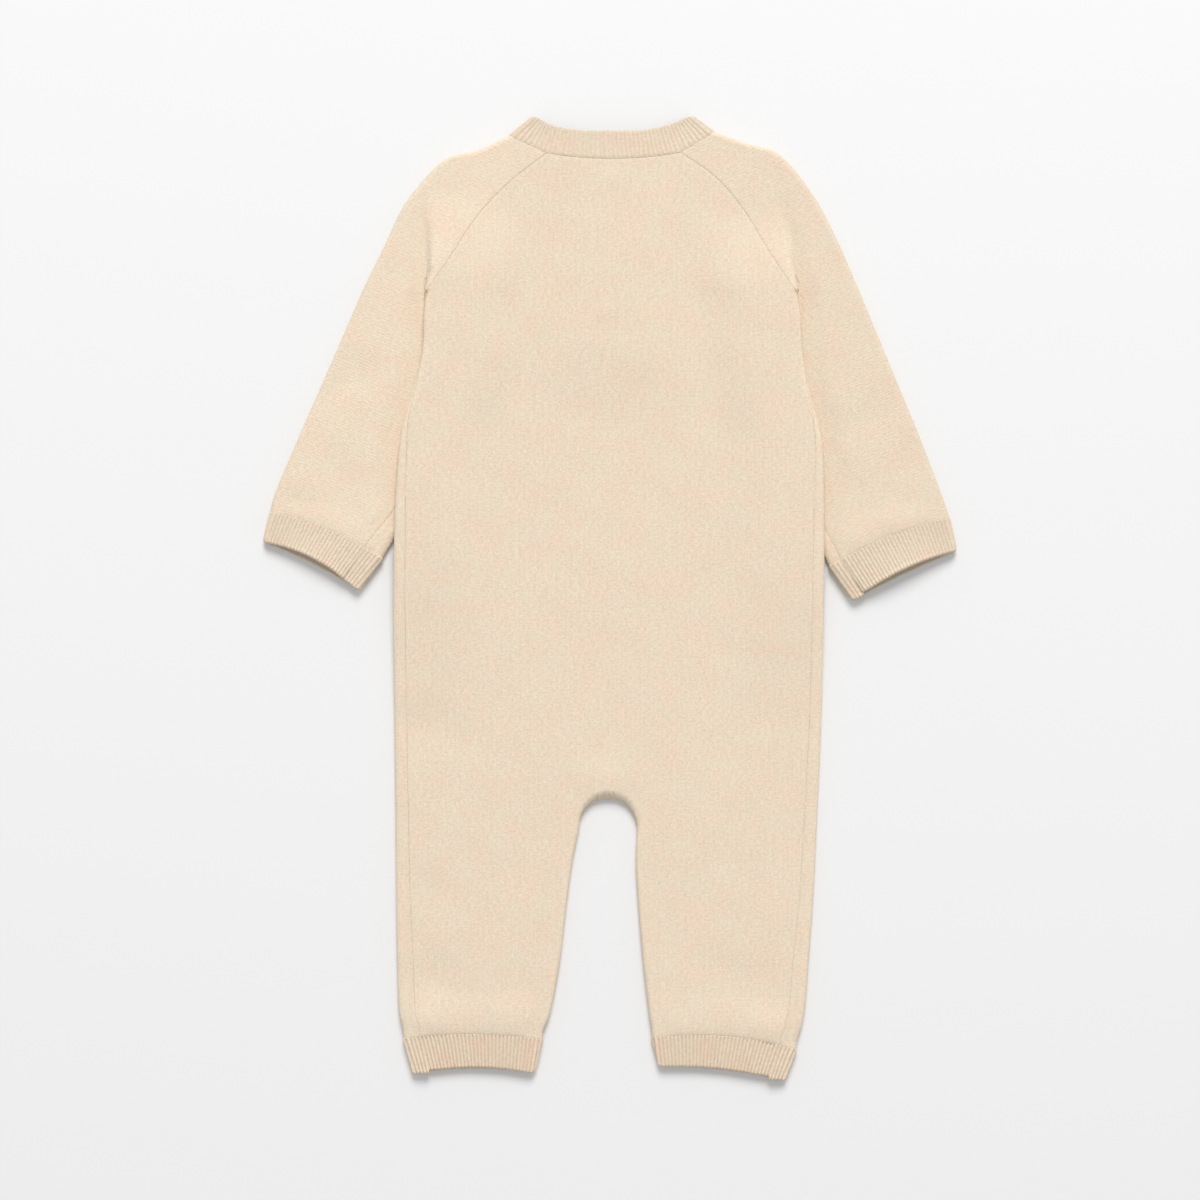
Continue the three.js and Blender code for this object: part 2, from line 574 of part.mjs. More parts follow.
const buttonProfile = [
  [0, 0.6], [3.6, 0.6], [4.4, 0], [BUTTON_RADIUS, 0.4],
  [BUTTON_RADIUS - 1, BUTTON_HEIGHT], [0, BUTTON_HEIGHT],
].map(([r, z]) => new THREE.Vector2(r, z));
BUTTON_YS.forEach((y, i) => {
  const button = add(`button_${i + 1}`, new THREE.LatheGeometry(buttonProfile, 12), shell);
  button.rotation.x = Math.PI / 2;
  button.position.set(CENTRE_X, y, 0);
});

export default sleepsuit;
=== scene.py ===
"""A fine-knit baby sleepsuit, laid flat on its front. Each piece of cloth is worked out again from the
sizes of its CAD solid, finely enough for ribs, seams and creases, and given a knitted material."""

import math

import bpy
import numpy as np
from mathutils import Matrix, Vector


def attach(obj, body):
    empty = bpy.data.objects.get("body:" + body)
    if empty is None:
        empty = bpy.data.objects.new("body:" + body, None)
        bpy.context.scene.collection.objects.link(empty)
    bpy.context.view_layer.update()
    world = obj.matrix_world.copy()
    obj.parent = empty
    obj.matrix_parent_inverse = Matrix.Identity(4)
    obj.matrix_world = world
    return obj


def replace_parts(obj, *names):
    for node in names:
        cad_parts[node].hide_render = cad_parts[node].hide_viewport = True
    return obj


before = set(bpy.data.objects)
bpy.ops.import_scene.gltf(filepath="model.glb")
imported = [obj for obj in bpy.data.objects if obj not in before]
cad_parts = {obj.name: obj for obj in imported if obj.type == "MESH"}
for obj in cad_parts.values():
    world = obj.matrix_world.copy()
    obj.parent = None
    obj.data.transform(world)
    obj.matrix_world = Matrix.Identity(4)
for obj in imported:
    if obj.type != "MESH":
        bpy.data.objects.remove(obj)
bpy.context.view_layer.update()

MM = 0.001  # the sizes below are in millimetres


def in_scene(name, data):
    thing = bpy.data.objects.new(name, data)
    bpy.context.scene.collection.objects.link(thing)
    return thing


# ---- Camera: straight above, framing 684 mm of the surface ----
camera = in_scene("camera", bpy.data.cameras.new("camera"))
camera.data.lens = 85
camera.data.sensor_width = 36
camera.location = (-5.7 * MM, -1.1 * MM, 1.615)
bpy.context.scene.camera = camera

# ---- Sizes, as in the CAD model ----
WALL = 1.8
RIB_WALL = 2.2
RIB_DEPTH = 0.9
GAP = 0.02  # the seams close up more here than in the CAD model
LOFT = 4.2  # from the middle of the lower layer to that of the upper one
PRESSED_LOFT = 2.3  # the same where the body lies on a sleeve
FOLD = 2.1  # radius of the folds
BODY_OVER_SLEEVE = 4.7
BLOUSE = 1.3
UNDERARM_Y = 175
BUTTON_RADIUS = 5.7
BUTTON_HEIGHT = 2.2
PLACKET_WIDTH = 18
PLACKET_FOOT_Y = 150
PLACKET_HEAD_Y = 245
PLACKET_WALL = 1.5
PLACKET_Z = BUTTON_HEIGHT + 0.2  # the buttons lie under the placket
BUTTON_YS = (237.5, 212.5, 187.5, 162.5)
SLIT = PLACKET_WIDTH / 2 + GAP
CENTRE_X = -1
CROTCH_Y, CROTCH_HALF_WIDTH, CROTCH_RISE = -130, 16.5, 18.3
RAGLAN_LENGTH, SHOULDER_LENGTH, ARM_LENGTH = 78, 90, 125
BAND_DEPTH, NECK_DEPTH = 18, 15.5
QUARTER = FOLD * math.pi / 2  # the way round a quarter of a fold
SIDE_REACH = WALL / 2 + FOLD  # how far a fold reaches in from its outermost line


def table(columns, rows):
    return {name: np.array(column, float) for name, column in zip(columns.split(), zip(*rows))}


SIDES = table(
    "y left right seam",
    [
        (172, -104.7, 106.3, 1.0),
        (160, -105.8, 108.2, 0.2),
        (147, -106.0, 108.8, 0.3),
        (132, -108.0, 110.4, 0.8),
        (114, -112.8, 114.0, 2.0),
        (100, -117.2, 118.0, 3.2),
        (85, -119.7, 120.8, 4.8),
        (57, -121.8, 121.6, 6.2),
        (0, -123.0, 121.5, 7.0),
        (-60, -122.6, 120.5, 7.2),
        (-126, -121.8, 117.7, 7.6),
        (-172, -121.5, 115.5, 8.4),
        (-206, -121.0, 113.0, 9.4),
        (-234, -120.0, 110.8, 9.6),
        (-257, -116.5, 106.0, 9.8),
    ],
)
INSIDE_LEGS = table(
    "y left right",
    [
        (-130, -17.5, 15.5),
        (-150, -21.5, 14.8),
        (-172, -24.5, 16.0),
        (-206, -28.5, 18.8),
        (-234, -33.6, 22.0),
        (-251, -38.4, 23.9),
    ],
)
# Each ribbed ring: the ends of its seam and of its free edge, and how far each bows towards the neck on top
# and underneath; how far its mouth gapes; how strongly its own seam shows, and how far the free edge reaches
# down on each side of it; how deep its ribs are, and how much painted shade darkens it all over; and its cut,
# in metres.
BANDS = {
    "leg_band_left": {
        "seam": ((-117.4, -250.2), (-38.4, -250.4), 2.6, 2.6),
        "free": ((-112.3, -270.4), (-43.0, -269.4), 3.6, 2.6),
        "gape": 3.0, "own_seam": 0.3, "notch": (1.0, -0.5), "ribs": 1.05, "painted_shade": 0,
        "flat": (0.160, 0.0205), "area": 0.0030,
    },
    "leg_band_right": {
        "seam": ((106.0, -256.5), (23.9, -249.2), 4.0, 4.0),
        "free": ((99.6, -274.2), (27.6, -265.6), 2.6, 1.8),
        "gape": 2.8, "own_seam": 0.3, "notch": (1.1, -0.4), "ribs": 1.0, "painted_shade": 0,
        "flat": (0.168, 0.0195), "area": 0.0030,
    },
    "cuff_left": {
        "seam": ((-193.4, 49.0), (-129.1, 22.8), 3.4, 3.4),
        "free": ((-197.06, 32.0), (-142.4, 4.6), 4.6, 1.8),
        "gape": 2.8, "own_seam": 0.3, "notch": (0.2, 0.5), "ribs": 0.55, "painted_shade": 0.22,
        "flat": (0.144, 0.0225), "area": 0.0027,
    },
    "cuff_right": {
        "seam": ((193.2, 45.6), (124.4, 18.4), 3.2, 3.2),
        "free": ((197.0, 27.0), (137.4, -1.0), 3.6, 0.8),
        "gape": 4.4, "own_seam": 1.2, "notch": (-0.5, 1.2), "ribs": 0.55, "painted_shade": 0.38,
        "flat": (0.152, 0.0235), "area": 0.0031,
    },
}
SLEEVES = {
    "left": {
        "shoulder": [(-57.5, 262.5), (-76, 254), (-94.5, 249), (-115.5, 226), (-127.5, 202), (-140.4, 175.5)],
        "back": [(-36, 252.5), (-57, 236.5), (-76, 216), (-91.5, 192), (-103.8, 174.4)],
        "front": [(-43, 246), (-60, 231.5), (-77, 213), (-92, 191.5), (-103.8, 174.4)],
        "out": [(-141.6, 172.6), (-162, 125.5), (-178.5, 88), (-190.5, 59.5), (-193.4, 49.0)],
        "into": [(-103.4, 172.4), (-91, 135), (-97, 89), (-114.5, 49), (-129.1, 22.8)],
    },
    "right": {
        "shoulder": [(59.5, 264.8), (77, 258.6), (97, 251.6), (116, 228.4), (129, 204), (141.4, 175.5)],
        "back": [(40, 253), (60, 239), (76.5, 219.5), (90.5, 196), (104.8, 174.4)],
        "front": [(44, 247), (61, 232), (77.5, 213.5), (92.5, 191.5), (104.8, 174.4)],
        "out": [(142.6, 172.6), (162, 125.5), (177.5, 88), (188.5, 59), (193.2, 45.6)],
        "into": [(103.8, 172.4), (93, 135), (99, 89), (111, 48), (124.4, 18.4)],
    },
}
NECK_FREE = {
    "back": [
        (-43.5, 273.6), (-33, 268.2), (-17, 265.2), (0, 264.8), (18, 265.2), (34, 268.6), (46.5, 273.85)
    ],
    "left": [(-43.5, 273.6), (-34, 258.5), (-22, 249), (CENTRE_X - SLIT, 245.4)],
    "right": [(46.5, 273.85), (36, 258.5), (22, 249), (CENTRE_X + SLIT, 245.4)],
}
NECK_SEAM_DEPTH = {"back": 3.6, "front": 17.4}
SIGN = {"left": -1, "right": 1}

# ---- Folds of the upper layer: soft troughs (height below 0) and ridges. They run from one
# end to the other, `width` wide, and fade at their ends. ----
CREASES = table(
    "x1 y1 x2 y2 width height",
    [
        (-118, -70, -94, -78, 13, -0.9),  # across the left hip
        (-106, 24, -104, -60, 20, -0.3),
        (-112, -214, -92, -217, 12, -1.3),  # above the left leg band
        (-112, -160, -92, -172, 13, -0.5),
        (62, -210, 90, -218, 12, -0.7),  # above the right leg band
        (102, -70, 105, -150, 10, -0.4),
        (-160, 117, -133, 131, 10, -0.9),  # left sleeve, across the elbow
        (-156, 76, -147, 52, 9, -0.8),
        (-179, 92, -166, 60, 7, 0.3),
        (128, 94, 160, 109, 10, -0.7),  # right sleeve
        (125, 80, 137, 52, 9, -0.6),
        (158, 70, 176, 82, 8, -0.3),
        (-104.3, 226, -103.6, 186, 4.0, -0.5),  # creases that run up from the underarms
        (98, 224, 104, 192, 4.5, -1.1),
        (-103, -240, -100, -238, 8, 0.9),  # puffs above the leg bands
        (-68, -236, -57, -234, 9, 0.5),
        (88, -243, 93, -243, 8, 0.7),
        (42, -224, 50, -222, 12, 0.4),
        (-180, 66, -174, 63, 8, 0.5),  # puffs above the cuffs
        (-137, 50, -131, 47, 7, 0.7),
        (154, 45, 166, 45, 9, 0.6),
        (137, 34, 142, 32, 6, 0.5),
        (20, -150, 24, -182, 9, -0.3),  # beside the crotch
        (-10, -103, 9, -103, 13, 1.3),  # the crotch stands up
        (-40, 60, -36, -60, 26, -0.2),
        (46, 110, 52, 10, 24, 0.2),
        (30, -20, 62, -70, 22, -0.2),
    ],
)
CREASES_BELOW = table(
    "x1 y1 x2 y2 width height",
    [
        (-96, 40, -60, 20, 12, 0.5),
        (88, -20, 60, -46, 13, 0.5),
        (-70, -200, -40, -215, 11, 0.6),
        (50, -190, 80, -204, 12, 0.5),
        (-9, -104, 8, -104, 12, 1.2),
    ],
)
CREASE_LINE = table(  # where the body's side fold runs on up into the sleeves as a crease
    "y left right",
    [
        (230, -102.4, 93.0),
        (222, -101.9, 96.0),
        (207, -100.7, 99.0),
        (190, -100.9, 101.6),
        (177, -102.8, 104.2),
        (172, -104.7, 106.3),
    ],
)


# ---- Small helpers ----
def mix(a, b, t):
    return a + (b - a) * t


def smooth(t):
    t = np.clip(t, 0, 1)
    return t * t * (3 - 2 * t)


def unit(v):
    return np.asarray(v, float) / np.hypot(*v)


def through(points, t):
    """A smooth line through a few points, from its first at t = 0 to its last at t = 1."""
    p = np.array(points, float)
    p = np.vstack([2 * p[0] - p[1], p, 2 * p[-1] - p[-2]])
    last = len(p) - 3
    place = np.clip(t, 0, 1) * last
    i = np.minimum(last - 1, np.floor(place)).astype(int)
    f = (place - i)[..., None] if np.ndim(place) else place - i
    a, b, c, d = p[i], p[i + 1], p[i + 2], p[i + 3]
    return b + 0.5 * f * (c - a + f * (2 * a - 5 * b + 4 * c - d + f * (3 * b - a - 3 * c + d)))


def at(tab, column, y):
    """The column of a table at a height y, smoothly between its rows."""
    ys, values = tab["y"], tab[column]
    inside = np.clip(y, ys[-1], ys[0])
    i = np.clip(np.searchsorted(-ys, -inside, side="right") - 1, 0, len(ys) - 2)
    k = np.arange(len(ys))
    above, below = np.maximum(k - 1, 0), np.minimum(k + 1, len(ys) - 1)
    slope = (values[below] - values[above]) / (ys[below] - ys[above])
    span = ys[i + 1] - ys[i]
    f = (inside - ys[i]) / span
    return (
        values[i] * (1 + 2 * f) * (1 - f) ** 2
        + slope[i] * span * f * (1 - f) ** 2
        + values[i + 1] * f * f * (3 - 2 * f)
        + slope[i + 1] * span * f * f * (f - 1)
    )


def stations(marks, counts):
    """Values in equal steps from each mark to the next."""
    runs = [np.linspace(a, b, n + 1)[1:] for a, b, n in zip(marks, marks[1:], counts)]
    return np.concatenate([[marks[0]], *runs])


# ---- How high the layers lie ----
def creased(creases, x, y):
    total = np.zeros(np.broadcast(x, y).shape)
    for x1, y1, x2, y2, width, height in zip(*creases.values()):
        dx, dy = x2 - x1, y2 - y1
        t = ((x - x1) * dx + (y - y1) * dy) / (dx * dx + dy * dy)
        held = np.clip(t, 0, 1)
        away = np.hypot(x - x1 - held * dx, y - y1 - held * dy)
        wander = 1 + 0.18 * np.sin(x * 0.21 + y * 0.17 + x1)
        fade = 0.55 + 0.45 * np.sin(np.pi * held)
        total = total + height * fade * np.exp(-((away / (width * wander)) ** 2))
    return total


WAVES = [  # height, turns along x and along y, and phase
    (0.09, 0.083, 0.031, 1.1),
    (0.08, -0.044, 0.071, 0.4),
    (0.06, 0.171, -0.113, 2.3),
    (0.05, 0.094, 0.203, 4.0),
]


def undulation(x, y):
    """Cloth is never quite flat: slow waves of unlike lengths."""
    return sum(height * np.sin(x * by_x + y * by_y + phase) for height, by_x, by_y, phase in WAVES)


def from_side(x, y):
    top = SIDES["y"][0]
    left, right = (np.where(y > top, at(CREASE_LINE, side, y), at(SIDES, side, y)) for side in SIGN)
    return np.where(x < 0, x - left, right - x)


def placket_lift(x, y):
    beside = np.abs(x) - PLACKET_WIDTH / 2 - 2
    beyond = np.maximum(PLACKET_FOOT_Y - 2 - y, y - PLACKET_HEAD_Y - 40)
    return PLACKET_Z * (1 - smooth(beside / 45)) * (1 - smooth(beyond / 50))


def side_lift(x, y):
    above = np.where(x < 0, 1 - smooth((y - UNDERARM_Y - 6) / 54), 1 - smooth((y - UNDERARM_Y) / 48))
    along = np.where(y > UNDERARM_Y, above, smooth((y + 75) / 110))
    inward = from_side(x, y)
    # Steep at the underarm, easing up the crease above it, which is softer on the right.
    drop = 1 + np.maximum(0, y - UNDERARM_Y) * np.where(x < 0, 0.08, 0.16)
    across = np.where(inward > 0, 1 - smooth((inward - 27) / 32), 1 - smooth((-inward - 0.2) / drop))
    return BODY_OVER_SLEEVE * along * across


def raglan_share(y):
    return smooth((y - UNDERARM_Y + 1.6) / 0.9)


def button_bumps(x, y):
    """The buttons under the front show through the back, the lowest of them most."""
    strengths = (0.35, 0.12, 0.15, 0.55)
    return sum(
        k * np.exp(-(((x - CENTRE_X) ** 2 + (y - by) ** 2) / 5.5**2)) for k, by in zip(strengths, BUTTON_YS)
    )


class Body:
    @staticmethod
    def low(x, y):
        return WALL / 2 + side_lift(x, y) + placket_lift(x, y)

    @staticmethod
    def high(x, y):
        puff = creased(CREASES, x, y) + undulation(x, y) + button_bumps(x, y)
        return Body.low(x, y) + np.maximum(LOFT + puff, WALL + 0.4)


class BodyBelow(Body):
    """The front lies on the surface, which keeps its folds shallow, so they only rise."""

    @staticmethod
    def low(x, y):
        return Body.low(x, y) + np.maximum(0, creased(CREASES_BELOW, x, y))


class Sleeve:
    @staticmethod
    def low(x, y):
        return WALL / 2 + side_lift(x, y) * raglan_share(y) + placket_lift(x, y)

    @staticmethod
    def high(x, y):
        # The body presses it down beside the crease, and less and less above the underarm.
        beyond = -from_side(x, y)
        clear = smooth((beyond - 2) / 14)
        above = smooth(beyond) * (1 - smooth((y - UNDERARM_Y) / 55))
        held = np.where(y > UNDERARM_Y, above, 1 - raglan_share(y))
        held = np.maximum(held, (y <= UNDERARM_Y) * smooth(beyond)) * (1 - clear)
        puff = creased(CREASES, x, y) + undulation(x, y)
        return Sleeve.low(x, y) + np.maximum(mix(LOFT + puff, PRESSED_LOFT, held), WALL + 0.4)


class Collar:
    @staticmethod
    def low(x, y):
        return Body.low(x, y) + (RIB_WALL - WALL) / 2

    @staticmethod
    def high(x, y):
        return Body.low(x, y) + LOFT + 0.6 * undulation(x, y) - (RIB_WALL - WALL) / 2


class Rib:
    """Ribbed rings, whose free edges gape."""

    @staticmethod
    def low(x, y):
        return RIB_WALL / 2 + 0 * x

    @staticmethod
    def high(x, y):
        return RIB_WALL / 2 + LOFT - (RIB_WALL - WALL) + 0.7 * undulation(x, y)


# ---- Rows: lines across a tube in plan, from its outer fold to its inner fold or to the body's middle ----
class Row:
    FAR = 99  # a distance at which a seam no longer marks the cloth

    def __init__(
        self, out, end=None, end_low=None, edge=None, normal=None,
        bow=0, bow_low=None, blouse=0, gape=0, lip=0, above=FAR,
    ):
        self.out = np.array(out, float)
        self.edge = edge  # the inner fold's outermost point, in rows that go round one
        if edge is not None:
            self.normal = unit(self.out - edge) if normal is None else normal
            end = edge + self.normal * SIDE_REACH
        self.end = np.array(end, float)
        self.end_low = self.end if end_low is None else np.array(end_low, float)
        self.bow = bow  # how far the row bows towards the neck
        self.bow_low = bow if bow_low is None else bow_low
        self.blouse = blouse  # how far both layers puff out over a band
        self.gape = gape  # how far the middle of the upper layer stands up
        self.lip = lip  # how far the lower layer reaches out past the upper one at the inner fold
        self.above = above  # distance from the band's seam below

    def length(self, upper):
        return np.hypot(*((self.end if upper else self.end_low) - self.out))

    def flat_end(self, upper=True):
        """How far round the section the flat layer ends, from the outer fold's outermost line."""
        return QUARTER + self.length(upper) - WALL / 2 - FOLD

    def in_plan(self, upper, along):
        end = self.end if upper else self.end_low
        t = along / np.hypot(*(end - self.out))
        dx, dy = unit(end - self.out)
        side = -1 if dx < 0 else 1
        bow = (self.bow if upper else self.bow_low) * 4 * t * (1 - t)
        return self.out + np.outer(t, end - self.out) + np.outer(bow, (-dy * side, dx * side))

    def around(self, s, layers):
        """Points s millimetres round the section: over the top where s is positive, else underneath."""
        found = np.empty((len(s), 3))
        for upper in (True, False):
            chosen = (s >= 0) == upper
            if chosen.any():
                found[chosen] = self.one_way(np.abs(s[chosen]), upper, layers)
        return found

    def one_way(self, d, upper, layers):
        flat_end = self.flat_end(upper)
        turn = (d - flat_end) / FOLD
        first, last = d < QUARTER, (d > flat_end) & (self.edge is not None)
        place = self.in_plan(upper, SIDE_REACH + d - QUARTER)
        start = WALL / 2 + FOLD * (1 - np.cos(d / FOLD))
        place[first] = self.in_plan(upper, start[first])
        lean = np.where(first, np.sin(np.minimum(d, QUARTER) / FOLD), 1.0)
        if last.any():
            reach = FOLD * (1 - np.sin(turn[last]))
            round_fold = self.edge + np.outer(WALL / 2 + reach, self.normal)
            past = np.maximum(0, turn[last] - math.pi) * FOLD
            beyond = self.in_plan(not upper, self.length(not upper) - past)
            place[last] = np.where((past > 0)[:, None], beyond, round_fold)
            lean[last] = np.cos(np.minimum(turn[last], math.pi))
        height = lean if upper else -lean
        if self.lip:
            reach = self.lip * (1 - height) / 2 * smooth(1 - (flat_end - d) / 20)
            place = place - np.outer(reach, self.normal)
        x, y = place.T
        low, high = layers.low(x, y), layers.high(x, y)
        inside = np.minimum(np.abs(d - QUARTER), np.abs(flat_end - d)) / 12
        t = np.clip(d / (flat_end + QUARTER), 0, 1)
        puffed = np.where(height > 0.99, self.blouse * smooth(inside), 0)
        puffed = puffed + self.gape * (4 * t * (1 - t)) ** 1.5 * (height > 0) * height
        return np.column_stack([place, (low + high) / 2 + height * (high - low) / 2 + puffed])

    def unfolded(self, s, face):
        """Where the points lie in the flat cloth, which sets its knit. `face` is 1 for a piece that is mostly
        on top and -1 for one that is mostly underneath."""
        along = SIDE_REACH - QUARTER + face * s
        return self.out + np.outer(along, unit(self.end - self.out))


def marks(*seams):
    """What seams do to the cloth, from pairs of a distance and a strength: it rolls down into them with a
    slight ridge beside it, and their stitches show as a dark line."""
    roll, line = 0, 0
    for distance, strength in seams:
        dip = -0.3 * np.exp(-((distance / 0.6) ** 2)) + 0.1 * np.exp(-(((distance - 1.9) / 1.0) ** 2))
        roll = roll + strength * dip
        line = np.maximum(line, strength * (1 - smooth((distance - 0.1) / 0.9)))
    return np.stack(np.broadcast_arrays(roll, line), -1)


# ---- From sheets to meshes ----
class Grid:
    """Rows of points with their places in the flat cloth (`uv`), the marks that the seams leave on them, the
    depth of their ribs' grooves, how far their outer side stands proud of a plain wall, and their
    `painted_shade`:
    painted shade that darkens the cloth's colour along folds and over some pieces, or a painted highlight
    where it is below 0."""

    def __init__(self, points, uv, marks, groove=0, proud=0, painted_shade=0, flip=False, skip=None):
        self.points = np.array(points, float)
        self.uv = np.array(uv, float)
        roll, line = np.moveaxis(np.array(marks, float), -1, 0)
        self.groove = np.broadcast_to(groove, roll.shape)
        self.proud = roll + proud - RIB_DEPTH * self.groove
        self.shade = np.stack([line, self.groove, np.broadcast_to(painted_shade, roll.shape)], -1)
        self.flip = flip
        cells = np.ones((self.points.shape[0] - 1, self.points.shape[1] - 1), bool)
        self.cells = cells if skip is None else cells & ~skip(self.points)


WELDS = 200  # to a millimetre: points that round to the same one are joined


def normalised(vectors):
    return vectors / np.maximum(np.linalg.norm(vectors, axis=1, keepdims=True), 1e-12)


def all_apart(faces):
    """Which faces' corners all differ from the next."""
    return (faces != np.roll(faces, -1, 1)).all(1)


def cloth(name, grids, wall, material, rim=0.12):
    """Joins grids into one closed piece with the given wall and its rims rounded by `rim`."""
    points = np.vstack([g.points.reshape(-1, 3) for g in grids])
    uvs = np.vstack([g.uv.reshape(-1, 2) for g in grids])
    proud = np.concatenate([g.proud.ravel() for g in grids])
    shades = np.vstack([g.shade.reshape(-1, 3) for g in grids])
    quads, start = [], 0
    for g in grids:
        rows, columns = g.points.shape[:2]
        ids = np.arange(rows * columns).reshape(rows, columns) + start
        start += rows * columns
        corners = [ids[:-1, :-1], ids[:-1, 1:], ids[1:, 1:], ids[1:, :-1]]
        if g.flip:
            corners = corners[::-1]
        quads.append(np.stack(corners, -1)[g.cells])
    corner_ids = np.vstack(quads)
    places = np.round(points * WELDS).astype(int)
    _, keep, joined = np.unique(places, axis=0, return_index=True, return_inverse=True)
    faces = joined.ravel()[corner_ids]
    good = all_apart(faces)
    faces, corner_ids = faces[good], corner_ids[good]
    p, lift, shade = points[keep], proud[keep], shades[keep]
    diagonals = np.cross(p[faces[:, 2]] - p[faces[:, 0]], p[faces[:, 3]] - p[faces[:, 1]])
    normals = np.zeros_like(p)
    for i in range(4):
        np.add.at(normals, faces[:, i], diagonals)
    normals = normalised(normals)
    # Rims: directed edges with no partner.
    edges = np.vstack([faces[:, [i, (i + 1) % 4]] for i in range(4)])
    edge_corners = np.vstack([corner_ids[:, [i, (i + 1) % 4]] for i in range(4)])
    n = len(p)
    alone = ~np.isin(edges[:, 0] * n + edges[:, 1], edges[:, 1] * n + edges[:, 0])
    rims, rim_corners = edges[alone], edge_corners[alone]
    outward = np.zeros_like(p)
    away = np.cross(p[rims[:, 1]] - p[rims[:, 0]], normals[rims[:, 0]])
    for i in range(2):
        np.add.at(outward, rims[:, i], away)
    outward = normalised(outward)
    outer = p + normals * (wall / 2 + lift)[:, None]
    inner = p - normals * wall / 2
    middle = p + outward * rim + normals * (lift / 2)[:, None]
    a, b = rims.T
    rim_outer = np.column_stack([b, a, a + 2 * n, b + 2 * n])
    rim_inner = np.column_stack([b + 2 * n, a + 2 * n, a + n, b + n])
    all_faces = np.vstack([faces, faces[:, ::-1] + n, rim_outer, rim_inner])
    ca, cb = rim_corners.T
    rim_uv = np.column_stack([cb, ca, ca, cb])
    all_uvs = uvs[np.vstack([corner_ids, corner_ids[:, ::-1], rim_uv, rim_uv]).ravel()]
    vertices = np.vstack([outer, inner, middle]) * MM
    inner_painted_shade = np.zeros_like(shade)  # painted shade on the inner side, which darkens the mouths of the rings
    inner_painted_shade[:, -1] = 1
    shade = np.vstack([shade, inner_painted_shade, shade])
    used, numbered = np.unique(all_faces, return_inverse=True)
    numbered = numbered.reshape(all_faces.shape)
    return make_mesh(name, vertices[used], numbered, all_uvs, shade[used], material)


def make_mesh(name, vertices, faces, uvs, shade, material):
    mesh = bpy.data.meshes.new(name)
    mesh.vertices.add(len(vertices))
    mesh.vertices.foreach_set("co", vertices.astype(np.float32).ravel())
    size = faces.shape[1]
    mesh.loops.add(faces.size)
    mesh.loops.foreach_set("vertex_index", faces.astype(np.int32).ravel())
    mesh.polygons.add(len(faces))
    mesh.polygons.foreach_set("loop_start", np.arange(0, faces.size, size, dtype=np.int32))
    layer = mesh.uv_layers.new(name="cloth")
    layer.data.foreach_set("uv", (uvs * MM).astype(np.float32).ravel())
    for kind, values in zip(("line", "groove", "painted_shade"), shade.T):
        mesh.attributes.new(kind, "FLOAT", "POINT").data.foreach_set("value", values.astype(np.float32))
    mesh.update(calc_edges=True)
    mesh.polygons.foreach_set("use_smooth", np.ones(len(faces), bool))
    mesh.validate()
    piece = in_scene(name, mesh)
    mesh.materials.append(material)
    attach(piece, "root")
    return piece


# ---- Materials ----
class Nodes:
    """Builds a node tree: each call makes one node and links or sets its inputs."""

    def __init__(self, tree):
        self.tree = tree

    def add(self, kind, inputs=(), output=0, **settings):
        node = self.tree.nodes.new(kind)
        for name, value in settings.items():
            setattr(node, name, value)
        for key, value in dict(inputs).items():
            if isinstance(value, bpy.types.NodeSocket):
                self.tree.links.new(value, node.inputs[key])
            else:
                node.inputs[key].default_value = value
        return node.outputs[output]

    def attribute(self, name):
        return self.add("ShaderNodeAttribute", output=2, attribute_name=name)

    def math(self, operation, *values):
        return self.add("ShaderNodeMath", dict(enumerate(values)), operation=operation)

    def times(self, a, b):
        return self.math("MULTIPLY", a, b)

    def noise(self, x, y, by_x, by_y, offset=0.0, detail=2.0, roughness=0.5):
        place = {0: self.times(x, by_x), 1: self.times(y, by_y), 2: offset}
        vector = self.add("ShaderNodeCombineXYZ", place)
        inputs = {"Vector": vector, "Scale": 1.0, "Detail": detail, "Roughness": roughness}
        return self.add("ShaderNodeTexNoise", inputs)

    def spread(self, value, low, high, to_low=0.0, to_high=1.0):
        inputs = {0: value, 1: low, 2: high, 3: to_low, 4: to_high}
        return self.add("ShaderNodeMapRange", inputs, interpolation_type="SMOOTHSTEP")

    def blend(self, factor, a, b, kind="MIX"):
        inputs = {0: factor, 6: a, 7: b}
        return self.add("ShaderNodeMix", inputs, 2, data_type="RGBA", blend_type=kind)


def new_material(name, uniform=()):
    material = bpy.data.materials.new(name)
    material.use_nodes = True
    shader = material.node_tree.nodes["Principled BSDF"]
    for key, value in dict(uniform).items():
        shader.inputs[key].default_value = value
    return material, material.node_tree, shader


MATT = {"Sheen Weight": 0.01, "Sheen Roughness": 0.55, "Specular IOR Level": 0.02, "Diffuse Roughness": 0.4}
CREAM = (0.868, 0.753, 0.596, 1)
PEACH = (0.884, 0.727, 0.575, 1)
GREY = (0.826, 0.716, 0.562, 1)
GROOVE_PAINTED_SHADE = (0.89, 0.84, 0.82, 1)  # painted shade: what the colour is multiplied by in the ribs' grooves
SEAM_DARK = 0.16  # how much darker a seam's stitches are
PAINTED_SHADE_DARK = 0.15  # how much darker painted shade makes the colour where `painted_shade` is 1
